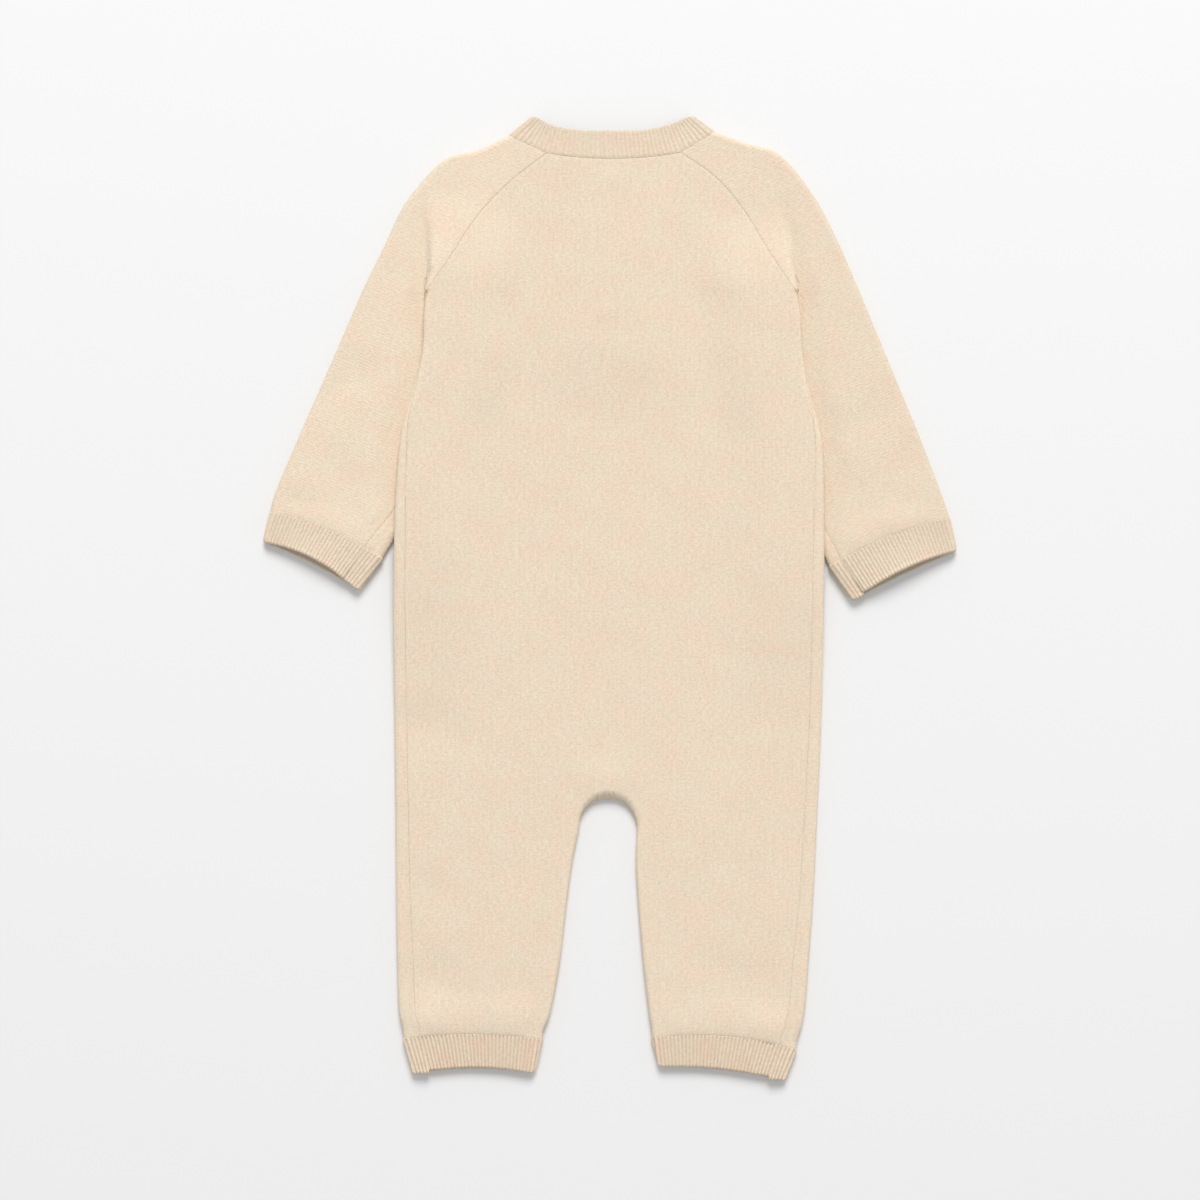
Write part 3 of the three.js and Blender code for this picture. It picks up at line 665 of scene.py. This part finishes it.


def knit(name, wale, course, stitch_depth, painted_stitch_shade, loops):
    """Heather knit. Its courses and wales follow the flat cloth, and the yarn's colours run along the
    courses. `loops` is how much of the stitches' relief lies between one course and the next, and
    `painted_stitch_shade` how strongly that relief is painted into the colour as shade and light."""
    material, tree, shader = new_material(name, MATT)
    n = Nodes(tree)
    place = n.add("ShaderNodeUVMap", uv_map="cloth")
    split = n.add("ShaderNodeSeparateXYZ", {0: place}).node
    u = n.times(split.outputs[0], 1 / MM)
    v = n.times(split.outputs[1], 1 / MM)
    # Stitches sit a little unevenly.
    drift = n.times(n.math("SUBTRACT", n.noise(u, v, 0.3, 0.4), 0.5), 1.6)
    across = n.math("ADD", u, drift)
    up = n.math("ADD", v, drift)
    # Each wale is two legs that lean together.
    turns = n.math("FRACT", n.math("DIVIDE", across, wale))
    from_middle = n.times(n.math("ABSOLUTE", n.math("SUBTRACT", turns, 0.5)), 2.0)
    leg = n.math("SINE", n.times(from_middle, math.pi))
    rise = n.math("ADD", n.math("DIVIDE", up, course), n.times(from_middle, 0.55))
    loop = n.math("ABSOLUTE", n.math("SINE", n.times(rise, math.pi)))
    arched = n.math("POWER", leg, 0.6)
    relief = n.times(arched, n.math("ADD", 1 - loops, n.times(loop, loops)))
    mean_relief = 0.74 * (1 - 0.36 * loops)
    # The stitches' relief is painted into the colour too, as painted shade in its hollows and painted light
    # on its loops; this shows more in some places than in others.
    shows = n.spread(n.noise(u, v, 0.025, 0.03, 51.0, 1.0), 0.38, 0.62, 0.35, 1.0)
    stitch = n.times(n.math("SUBTRACT", relief, mean_relief), shows)
    fuzz = n.noise(u, v, 1.6, 1.9, 3.0, 3.0, 0.75)
    # The yarn is a melange: short dashes along a course, some longer ones, slow patches.
    dashes = n.noise(across, up, 0.48, 0.85, 11.0, 2.0, 0.6)
    threads = n.noise(across, up, 0.2, 0.5, 23.0, 2.0, 0.6)
    patches = n.noise(u, v, 0.05, 0.06, 37.0, 3.0, 0.62)
    colour = n.blend(n.spread(patches, 0.42, 0.6, 0.0, 1.0), CREAM, PEACH)
    colour = n.blend(n.spread(threads, 0.48, 0.7, 0.0, 0.45), colour, GREY)
    colour = n.blend(n.spread(dashes, 0.5, 0.72, 0.0, 0.5), colour, PEACH)
    light = n.spread(dashes, 0.28, 0.68, 0.94, 1.05)
    light = n.times(light, n.math("MULTIPLY_ADD", stitch, painted_stitch_shade, 1.0))
    light = n.times(light, n.spread(fuzz, 0.25, 0.75, 0.93, 1.07))
    # Seams are linked through, so they show as a broken dark line.
    line = n.attribute("line")
    linked = n.spread(n.noise(u, v, 0.75, 0.75, 5.0, 3.0, 0.7), 0.44, 0.58, 0.0, SEAM_DARK)
    light = n.times(light, n.math("SUBTRACT", 1.0, n.times(line, linked)))
    # Painted shade darkens the folds, the inner side and some pieces all over; below 0 it is a painted
    # highlight.
    painted_shade = n.attribute("painted_shade")
    light = n.times(light, n.math("MULTIPLY_ADD", painted_shade, -PAINTED_SHADE_DARK, 1.0))
    groove = n.attribute("groove")
    colour = n.blend(1.0, colour, n.add("ShaderNodeCombineColor", {0: light, 1: light, 2: light}), "MULTIPLY")
    # Painted shade in the ribs' grooves.
    colour = n.blend(1.0, colour, n.blend(groove, (1, 1, 1, 1), GROOVE_PAINTED_SHADE), "MULTIPLY")
    tree.links.new(colour, shader.inputs["Base Color"])
    height = n.math("ADD", relief, n.times(fuzz, 0.5))
    bump = n.add("ShaderNodeBump", {"Height": height, "Distance": stitch_depth * MM, "Strength": 1.0})
    tree.links.new(bump, shader.inputs["Normal"])
    tree.links.new(n.spread(fuzz, 0.2, 0.8, 0.88, 1.0), shader.inputs["Roughness"])
    return material


jersey = knit("jersey", wale=1.45, course=1.2, stitch_depth=0.22, painted_stitch_shade=0.11, loops=0.3)
sleeve_jersey = knit("sleeve jersey", wale=1.45, course=1.65, stitch_depth=0.18, painted_stitch_shade=0.11, loops=0.7)
rib = knit("rib", wale=1.1, course=1.2, stitch_depth=0.2, painted_stitch_shade=0.08, loops=0.5)


def plain(name, low, high, roughness, scale):
    """A smooth material whose colour wanders slightly between two."""
    material, tree, shader = new_material(name)
    n = Nodes(tree)
    place = n.add("ShaderNodeTexCoord", output=3)
    clouds = n.add("ShaderNodeTexNoise", {"Vector": place, "Scale": scale, "Detail": 3.0})
    tree.links.new(n.blend(clouds, low, high), shader.inputs["Base Color"])
    tree.links.new(n.spread(clouds, 0.3, 0.7, roughness, roughness + 0.12), shader.inputs["Roughness"])
    return material


# ---- Body ----
RAGLAN, NECK, SIDE, UNDERARM, BAND = 0.42, 0.32, 0.18, 0.55, 0.25  # how strongly each seam shows
SEAM_STRIP = np.array([0, 0.5, 1.0, 1.7, 2.6, 3.8, 5.4])  # rows or columns beside a seam
STEP = 2.4  # the mesh's spacing on open cloth
FLAT_COLUMNS = 48
SLIT_COLUMNS = (44, 4)  # on the front, up to the slit and across its half
RAGLAN_ROWS = 44
FOLD_COLUMNS = 6


def neck_dip(face, x):
    (x0, y0), (x1, y1) = (SLEEVES[side][face][0] for side in SIGN)
    t = (x - x0) / (x1 - x0)
    return mix(y0, y1, t) - NECK_SEAM_DEPTH[face] * (1 - np.abs(2 * t - 1) ** 2.2)


def raglan_strength(t):
    """The seam sinks into the crease at the underarm."""
    return RAGLAN * (1 - smooth((t - 0.76) / 0.14))


def raglan_rows(face, side, extra):
    """Half of the body between the neck and the underarm, with `extra` columns beside the seam's strip."""
    layer = Body.high if face == "back" else BodyBelow.low
    sign = SIGN[side]
    near = SEAM_STRIP / RAGLAN_LENGTH
    ts = np.concatenate([near, np.linspace(near[-1], 1, RAGLAN_ROWS + 1)[1:]])
    rows = [[], [], []]
    for t in ts:
        start = through(SLEEVES[side][face], t) + np.array([-sign, -0.8]) * GAP / 2
        centre_y = mix(neck_dip(face, CENTRE_X) - GAP / 2, UNDERARM_Y - 1, t)
        inwards = abs(start[0] - CENTRE_X)
        if face == "back":
            rest = stations([SEAM_STRIP[-1], inwards], [extra + FLAT_COLUMNS])
        else:
            rest = stations([SEAM_STRIP[-1], 16, inwards - SLIT, inwards], [extra, *SLIT_COLUMNS])
        d = np.concatenate([SEAM_STRIP, rest[1:]])
        share = np.abs(1 - d / inwards) ** mix(2.2, 2, t)
        x = start[0] - sign * d
        y = mix(centre_y, start[1], share)
        from_neck = t * RAGLAN_LENGTH * (0.6 + 0.4 * (1 - share))
        rows[0].append(np.column_stack([x, y, layer(x, y)]))
        rows[1].append(np.column_stack([x, y]))
        rows[2].append(marks((d * 0.75, raglan_strength(t)), (from_neck, NECK)))
    return rows


def on_side(side, y):
    return at(SIDES, side, y), y


def torso_rows(side):
    ys = np.linspace(UNDERARM_Y - 1.4, CROTCH_Y + CROTCH_RISE + WALL / 2 + FOLD + STEP, 116)
    return [Row(on_side(side, y), (CENTRE_X, y)) for y in ys]


def leg_rows(side):
    sign = SIGN[side]
    rows = []
    for angle in np.linspace(0, math.pi / 2, 13):
        sine, cosine = sign * math.sin(angle), math.cos(angle)
        edge = (CENTRE_X + CROTCH_HALF_WIDTH * sine, CROTCH_Y + CROTCH_RISE * cosine)
        normal = unit((CROTCH_RISE * sine, CROTCH_HALF_WIDTH * cosine))
        y = edge[1] + normal[1] * SIDE_REACH
        lip = 3.4 * cosine ** (1.0 if side == "right" else 2.5)
        rows.append(Row(on_side(side, y), edge=edge, normal=normal, lip=lip))
    for y in np.linspace(CROTCH_Y, -212, 35)[1:]:
        rows.append(Row(on_side(side, y), edge=(at(INSIDE_LEGS, side, y), y)))
    seam_out, seam_into, bow, _ = BANDS[f"leg_band_{side}"]["seam"]
    for above in [*np.linspace(32, SEAM_STRIP[-1], 13), *SEAM_STRIP[-2::-1]]:
        share = smooth(above / 12)
        out_y, into_y = seam_out[1] + above + GAP / 2, seam_into[1] + above + GAP / 2
        out = (mix(seam_out[0], at(SIDES, side, out_y), share), out_y)
        edge = (mix(seam_into[0], at(INSIDE_LEGS, side, into_y), share), into_y)
        bowed = bow * (1 - above / 40)
        rows.append(Row(out, edge=edge, bow=bowed, blouse=blouse_at(above), above=above))
    return rows


def blouse_at(above):
    return 0.8 * BLOUSE * math.sin(math.pi * min(1, above / 26) ** 0.6)


def half_grid(rows, section, layers, face):
    """Points, uvs and marks of rows whose section(row) gives its stations and their distances from the seam
    that they start at."""
    points, uvs, found = [], [], []
    for row in rows:
        s, to_seam = section(row)
        points.append(row.around(s, layers))
        uvs.append(row.unfolded(s, face))
        found.append(marks((to_seam, SIDE), (row.above, BAND)))
    return points, uvs, found


def body_half(face, side):
    """Half of the back or the front: rows from the side seam to the middle, and on round the leg's inside."""
    is_back = face == "back"
    way = 1 if is_back else -1
    layers, extra = (Body, 3) if is_back else (BodyBelow, 10)

    def section(row, leg=False):
        seam = at(SIDES, "seam", row.out[1]) + way * GAP / 2
        strip = seam + way * SEAM_STRIP
        end = way * row.flat_end(is_back)
        if is_back:
            rest = stations([strip[-1], strip[-1] + 4, end], [extra, FLAT_COLUMNS])
        else:
            past_fold = min(-QUARTER, strip[-1] - 3) - 5
            rest = stations([strip[-1], past_fold, end + SLIT, end], [extra, *SLIT_COLUMNS])
        s = np.concatenate([strip, rest[1:]])
        if leg:
            fold = stations([end, end + way * QUARTER - way * GAP / 2], [FOLD_COLUMNS])[1:]
            s = np.concatenate([s, fold])
        return s, way * (s - seam)

    upper = raglan_rows(face, side, extra)
    torso = half_grid(torso_rows(side), section, layers, way)
    legs = half_grid(leg_rows(side), lambda row: section(row, True), layers, way)
    count = len(torso[0][0])
    whole = [[*a, *b, c[0][:count]] for a, b, c in zip(upper, torso, legs)]

    def in_slit(points):
        columns = np.arange(count - 1) >= count - 1 - SLIT_COLUMNS[1]
        return columns[None, :] & (points[1:, :-1, 1] > PLACKET_FOOT_Y - 0.6)

    flip = (side == "left") == is_back
    return [Grid(*whole, flip=flip, skip=None if is_back else in_slit), Grid(*legs, flip=flip)]


back, front = (
    cloth(f"{face}_cloth", [*body_half(face, "left"), *body_half(face, "right")], WALL, jersey)
    for face in ("back", "front")
)
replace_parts(back, "back")
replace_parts(front, "front")

# ---- Sleeves ----
UNDERARM_SEAM = {"left": (2.5, 8.5), "right": (2.5, 4.5)}  # in from the fold, midway down and at the cuff
SEAM_SIDE = 0.025  # how far the sleeve stays clear of the raglan seam's line
ARM_ROWS = 62
# Painted shade over each whole sleeve, more on the right one.
SLEEVE_PAINTED_SHADE = {"left": 0.05, "right": 0.2}
GRAIN = math.radians(23)  # the knit runs along the arm


def turn(uv, angle):
    c, s = math.cos(angle), math.sin(angle)
    return uv @ np.array([[c, -s], [s, c]])


def sleeve(side):
    cut = SLEEVES[side]
    sign = SIGN[side]
    outward = np.array([sign, 0.8]) * SEAM_SIDE
    points, uvs, found, painted_shade = [], [], [], []

    def add_row(row, top, bottom, side_seam, end_seam):
        """A row from the seam over the top, round the outer fold and back underneath."""
        s = np.concatenate(
            [
                top - SEAM_STRIP,
                stations([top - SEAM_STRIP[-1], QUARTER + 1, -QUARTER - 1], [70, 12])[1:],
                stations([-QUARTER - 1, -(bottom - 16), -bottom + SEAM_STRIP[-1]], [24, 10])[1:],
                -bottom + SEAM_STRIP[-2::-1],
            ]
        )
        points.append(row.around(s, Sleeve))
        uvs.append(row.unfolded(s, 1))
        found.append(marks((np.minimum(top - s, bottom + s), side_seam), end_seam))
        # Painted shade along the outer fold.
        painted_shade.append(mix(SLEEVE_PAINTED_SHADE[side], 1, np.exp(-((s / 2.4) ** 2))))

    near = SEAM_STRIP / SHOULDER_LENGTH
    for t in [*near, *np.linspace(near[-1], 1, RAGLAN_ROWS + 1)[1:]]:
        shoulder = through(cut["shoulder"], t) - np.array([0, GAP if t == 0 else 0])
        row = Row(shoulder, through(cut["back"], t) + outward, through(cut["front"], t) + outward)
        from_neck = (t * SHOULDER_LENGTH, 0.5 * NECK)
        add_row(row, row.flat_end(), row.flat_end(False), raglan_strength(t), from_neck)
    raglan_count = len(points)
    seam = BANDS[f"cuff_{side}"]["seam"]
    near = 1 - SEAM_STRIP[::-1] / ARM_LENGTH
    for t in [*np.linspace(0, near[0], ARM_ROWS), *near[1:]]:
        down = np.array([0, GAP / 2 if t == 1 else 0])
        above = (1 - t) * ARM_LENGTH
        out, into = through(cut["out"], t) + down, through(cut["into"], t) + down
        row = Row(out, edge=into, bow=seam[2] * smooth(t * 2 - 1), blouse=0.5 * blouse_at(above))
        midway, at_cuff = UNDERARM_SEAM[side]
        seam_in = mix(mix(-QUARTER, midway, smooth(t * 2)), at_cuff, smooth(t * 2 - 1))
        end = row.flat_end()
        add_row(row, end - seam_in - GAP / 2, end + 2 * QUARTER + seam_in - GAP / 2, UNDERARM, (above, BAND))
    # Rows between the underarm's level and the tube below it.
    for rows in (points, uvs, found, painted_shade):
        above, below = rows[raglan_count - 1], rows[raglan_count]
        rows[raglan_count:raglan_count] = [mix(above, below, t) for t in np.linspace(0, 1, 8)[1:-1]]
    turned = [turn(uv, sign * GRAIN) for uv in uvs]
    return [Grid(points, turned, found, painted_shade=painted_shade, flip=side == "right")]


for side in SIGN:
    piece = cloth(f"sleeve_{side}_cloth", sleeve(side), WALL, sleeve_jersey)
    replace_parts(piece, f"sleeve_{side}")

# ---- Ribbed bands ----
NECK_PITCH, BAND_PITCH = 2.4, 2.2
NECK_RIB, PLACKET_RIB = 0.4, 0.6  # how deep their ribs are, as a share of RIB_DEPTH
LEG_SEAM_IN = 9.6  # from the outer fold to a leg band's own seam
RING_GAP = 0.1  # between a ring's two ends, at its own seam
BIND_OFF_HIGHLIGHT = 1.3  # painted highlight: how much paler the bound-off edge is painted, where a fold's painted shade is 1
RIB_PROUD = 0.4  # how far a rib's ridge stands out from a plain wall
RIB_SAMPLES = 8  # columns to a rib


def groove(phase):
    """How deep the surface lies, from 0 on a rib's ridge to 1 in the valley beside it."""
    return 1 - (0.5 + 0.5 * np.cos(2 * math.pi * phase)) ** 0.7


def grooves_at(strength, phase, down):
    """The ribs' grooves start shallow at the seam."""
    return strength * groove(phase) * smooth((down + 0.6) / 1.6)


def free_edge(distance):
    """The cloth thins towards its free edge."""
    return -0.7 * np.exp(-((distance / 0.7) ** 2))


def ring_rows(depth, count):
    """Distances from the seam of a ring's rows, which lie closer at the seam and at the free edge."""
    middle = np.linspace(SEAM_STRIP[-1], depth - 2, count)[1:]
    return [*SEAM_STRIP, *middle, depth - 1.2, depth - 0.5, depth]


def band(name):
    """A ring, opened where its own seam lies: in line with the underarm or side seam above it."""
    ring = BANDS[name]
    side = name.split("_")[-1]
    seam, free = ring["seam"], ring["free"]
    downwards = unit(np.add(free[0], free[1]) - np.add(seam[0], seam[1]))
    points, uvs, found, grooves, proud, painted_shade = [], [], [], [], [], []
    for down in ring_rows(BAND_DEPTH, 9):
        t = down / BAND_DEPTH
        gap = np.array([0, -GAP / 2 if down == 0 else 0])
        out, into = mix(np.array(seam[:2]), np.array(free[:2]), t) + gap
        bow, bow_low = (mix(seam[i], free[i], t) for i in (2, 3))
        row = Row(out, edge=into, bow=bow, bow_low=bow_low, gape=ring["gape"] * t**1.6)
        flat = row.flat_end()
        loop = 2 * flat + 2 * QUARTER
        if down == 0:
            ribs = round(loop / BAND_PITCH)
            f = np.linspace(0, 1, ribs * RIB_SAMPLES + 1)
        start = flat - UNDERARM_SEAM[side][1] if name.startswith("cuff") else LEG_SEAM_IN
        s = start - RING_GAP / 2 - f * (loop - RING_GAP)
        to_seam = np.minimum(f, 1 - f) * loop
        line = row.around(s, Rib)
        step = np.where(f < 0.5, *ring["notch"]) * np.exp(-((to_seam / 4.5) ** 2)) * smooth((t - 0.3) / 0.7)
        line[:, :2] += np.outer(step, downwards)
        points.append(line)
        uvs.append(np.column_stack([f * ribs * BAND_PITCH, np.full(len(f), -down)]))
        found.append(marks((to_seam, ring["own_seam"]), (down, BAND)))
        grooves.append(grooves_at(ring["ribs"], f * ribs, down))
        proud.append([free_edge(BAND_DEPTH - down) + RIB_PROUD])
        # Painted shade over the whole ring, less a painted highlight along the bound-off edge.
        bind_off_highlight = np.exp(-(((BAND_DEPTH - down - 0.9) / 0.6) ** 2))
        painted_shade.append([ring["painted_shade"] - BIND_OFF_HIGHLIGHT * bind_off_highlight])
    return [Grid(points, uvs, found, grooves, proud, painted_shade, flip=side == "right")]


for name, ring in BANDS.items():
    piece = cloth(f"{name}_cloth", band(name), RIB_WALL, rib, rim=0.5)
    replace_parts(piece, name)


# ---- Neckband ----
def neckband():
    corner = 0.05  # the share of each seam that the fold at a shoulder takes up
    shoulders = {side: np.array(SLEEVES[side]["shoulder"][0], float) for side in SIGN}

    def along_seam(face, x):
        side = "left" if x < CENTRE_X else "right"
        start, stop = shoulders[side], np.array(SLEEVES[side][face][0], float)
        t = (x - start[0]) / (stop[0] - start[0])
        return mix(start, stop, t) if t < 1 else np.array([x, neck_dip(face, x)])

    def on_front(side, t, k):
        x = mix(shoulders[side][0], CENTRE_X + SIGN[side] * SLIT, t)
        return mix(along_seam("front", x), through(NECK_FREE[side], t), k)

    def on_back(t, k):
        x = mix(shoulders["left"][0], shoulders["right"][0], t)
        return mix(along_seam("back", x), through(NECK_FREE["back"], t), k)

    def loop(k):
        clear = GAP if k == 0 else 0
        found = []

        def flat(place, layer):
            found.append((place[0], place[1] + clear, float(layer(*place))))

        def fold(side, angles):
            for angle in angles:
                t = 0.012 + corner * (1 - math.cos(angle))
                behind = on_back(t / 2 if side == "left" else 1 - t / 2, k)
                place = mix(on_front(side, t, k), behind, (math.sin(angle) + 1) / 2)
                low, high = float(Collar.low(*place)), float(Collar.high(*place))
                z = (low + high) / 2 + math.sin(angle) * (high - low) / 2
                found.append((place[0], place[1] + clear, z))

        turn_up = np.radians(np.linspace(-78, 78, 14))
        for t in np.linspace(1, corner, 40):
            flat(on_front("right", t, k), Collar.low)
        fold("right", turn_up)
        for t in np.linspace(1 - corner / 2, corner / 2, 90):
            flat(on_back(t, k), Collar.high)
        fold("left", turn_up[::-1])
        for t in np.linspace(corner, 1, 40):
            flat(on_front("left", t, k), Collar.low)
        return np.array(found)

    middle = loop(0.5)
    travelled = np.concatenate([[0], np.cumsum(np.linalg.norm(np.diff(middle, axis=0), axis=1))])
    ribs = round(travelled[-1] / NECK_PITCH)
    f = np.linspace(0, 1, ribs * RIB_SAMPLES + 1)
    points, uvs, found, grooves, proud, painted_shade = [], [], [], [], [], []
    for down in ring_rows(NECK_DEPTH, 7):
        raw = loop(down / NECK_DEPTH)
        points.append(np.column_stack([np.interp(f * travelled[-1], travelled, raw[:, i]) for i in range(3)]))
        uvs.append(np.column_stack([f * ribs * NECK_PITCH, np.full(len(f), down)]))
        x, to_edge = points[-1][:, 0], NECK_DEPTH - down
        found.append(marks((down, NECK * (1 - 0.5 * smooth((np.abs(x) - 34) / 6)))))
        grooves.append(grooves_at(NECK_RIB, f * ribs, down))
        proud.append([free_edge(to_edge) + RIB_PROUD * smooth((down + 0.5) / 2)])
        # Painted shade along the free edge and at the folds by the shoulders.
        from_fold = np.minimum(x - x.min(), x.max() - x)
        painted_shade.append(np.maximum(np.exp(-((to_edge / 1.6) ** 2)), np.exp(-((from_fold / 2.4) ** 2))))
    return [Grid(points, uvs, found, grooves, proud, painted_shade, flip=True)]


neck = cloth("neckband_cloth", neckband(), RIB_WALL, rib, rim=0.5)
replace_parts(neck, "neckband")


# ---- Placket and buttons ----
def placket_band(level):
    half, ribs = PLACKET_WIDTH / 2, 6
    f = np.linspace(0, 1, ribs * RIB_SAMPLES + 1)
    x, y = np.meshgrid(mix(-half, half, f) + CENTRE_X, np.linspace(PLACKET_HEAD_Y, PLACKET_FOOT_Y + GAP, 48))
    z = np.full(x.shape, PLACKET_Z + PLACKET_WALL / 2 + level * (PLACKET_WALL + GAP))
    unmarked = np.zeros((*x.shape, 2))
    grooves = groove(f * ribs) * PLACKET_RIB
    return [Grid(np.stack([x, y, z], -1), np.stack([x, y], -1), unmarked, grooves, proud=0.15)]


for level, name in enumerate(("placket_over", "placket_under")):
    piece = cloth(f"{name}_cloth", placket_band(level), PLACKET_WALL, rib, rim=0.3)
    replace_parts(piece, name)


def lofted(name, rings, material):
    """A closed form through rings of points; its first and last rings are single points."""
    count, around = rings.shape[:2]
    ids = np.arange(count * around).reshape(count, around)
    ids[0], ids[-1] = ids[0, 0], ids[-1, 0]
    beside = np.roll(ids, -1, 1)
    corners = np.stack([ids[:-1], beside[:-1], beside[1:], ids[1:]], -1).reshape(-1, 4)
    faces = np.vstack([corners[:, [0, 1, 2]], corners[:, [0, 2, 3]]])
    faces = faces[all_apart(faces)]
    used, numbered = np.unique(faces, return_inverse=True)
    vertices = rings.reshape(-1, 3)[used]
    faces = numbered.reshape(-1, 3)
    uvs = vertices[faces.ravel()][:, :2]
    return make_mesh(name, vertices * MM, faces, uvs, np.zeros((len(vertices), 2)), material)


BUTTON_FACE = [(3.5, 0.56), (3.9, 0.36), (4.3, 0.1), (4.8, 0.02), (5.3, 0.14), (5.6, 0.5)]
BUTTON_EDGE = [(BUTTON_RADIUS, 0.95), (5.55, 1.5), (5.1, 2.0), (4.7, 2.18)]
BUTTON_BACK = [(4.3, BUTTON_HEIGHT), (0, BUTTON_HEIGHT)]
HOLES = [(-1.2, -1.2), (1.2, -1.2), (1.2, 1.2), (-1.2, 1.2)]
DISH = 0.6  # how deep the button's face is dished


def button(name, y):
    """Its dished face, with four holes, lies downwards."""
    dish = [(r, DISH) for r in np.linspace(0, 3.2, 26)]
    profile = np.array([*dish, *BUTTON_FACE, *BUTTON_EDGE, *BUTTON_BACK])
    angles = np.linspace(0, 2 * math.pi, 97)[:-1]
    across = np.outer(profile[:, 0], np.cos(angles))
    along = np.outer(profile[:, 0], np.sin(angles))
    z = np.repeat(profile[:, 1:], len(angles), 1)
    for hole in HOLES:
        away = np.hypot(across[: len(dish)] - hole[0], along[: len(dish)] - hole[1])
        z[: len(dish)] += 1.1 * (1 - smooth((away - 0.5) / 0.3))
    return lofted(name, np.stack([across + CENTRE_X, along + y, z], -1), shell)


def strand(name, y, start, stop, crown):
    """A length of thread between two holes of a button, which stands up by `crown`."""
    turns = np.linspace(0, 2 * math.pi, 11)[:-1]
    t = np.array([0, 0, 0.08, 0.2, 0.35, 0.5, 0.65, 0.8, 0.92, 1, 1])
    radius = np.array([0, *[0.3] * 9, 0])
    path = mix(np.array(start), np.array(stop), t[:, None]) + (CENTRE_X, y)
    side = np.array([-(stop[1] - start[1]), stop[0] - start[0]]) / math.dist(start, stop)
    z = DISH + 0.7 - (0.7 + crown) * np.sin(math.pi * np.clip(t, 0.02, 0.98)) ** 0.4
    plan = path[:, None] + (radius[:, None] * np.cos(turns))[..., None] * side
    height = z[:, None] + radius[:, None] * np.sin(turns)
    return lofted(name, np.concatenate([plan, height[..., None]], -1), thread)


shell = plain("button shell", (0.78, 0.72, 0.63, 1), (0.84, 0.79, 0.71, 1), roughness=0.28, scale=220)
thread = plain("thread", (0.74, 0.62, 0.48, 1), (0.84, 0.72, 0.57, 1), roughness=0.8, scale=2500)
for number, y in enumerate(BUTTON_YS, 1):
    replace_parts(button(f"button_{number}_shell", y), f"button_{number}")
    strand(f"thread_{number}_a", y, HOLES[0], HOLES[2], 0.25)
    strand(f"thread_{number}_b", y, HOLES[1], HOLES[3], 0.05)

# ---- Floor and light ----
HALF = 4.0  # half the floor's width, in metres
floor_mesh = bpy.data.meshes.new("floor")
corners = [(-HALF, -HALF, 0), (HALF, -HALF, 0), (HALF, HALF, 0), (-HALF, HALF, 0)]
floor_mesh.from_pydata(corners, [], [(0, 1, 2, 3)])
floor = in_scene("floor", floor_mesh)
paper = {"Base Color": (0.83, 0.83, 0.83, 1), "Roughness": 0.9, "Specular IOR Level": 0.1}
floor_mesh.materials.append(new_material("floor", paper)[0])

KEY_AT = (0.3, 4.4, 3.9)
key = in_scene("key", bpy.data.lights.new("key", "AREA"))
key.data.shape = "DISK"
key.data.size = 2.9
key.data.energy = 282
key.location = KEY_AT
key.rotation_euler = (-Vector(KEY_AT)).to_track_quat("-Z", "Y").to_euler()
world = bpy.data.worlds.new("world")
world.use_nodes = True
sky = world.node_tree.nodes["Background"]
sky.inputs["Color"].default_value = (1, 1, 1, 1)
sky.inputs["Strength"].default_value = 0.57
bpy.context.scene.world = world
bpy.context.scene.view_settings.view_transform = "Standard"
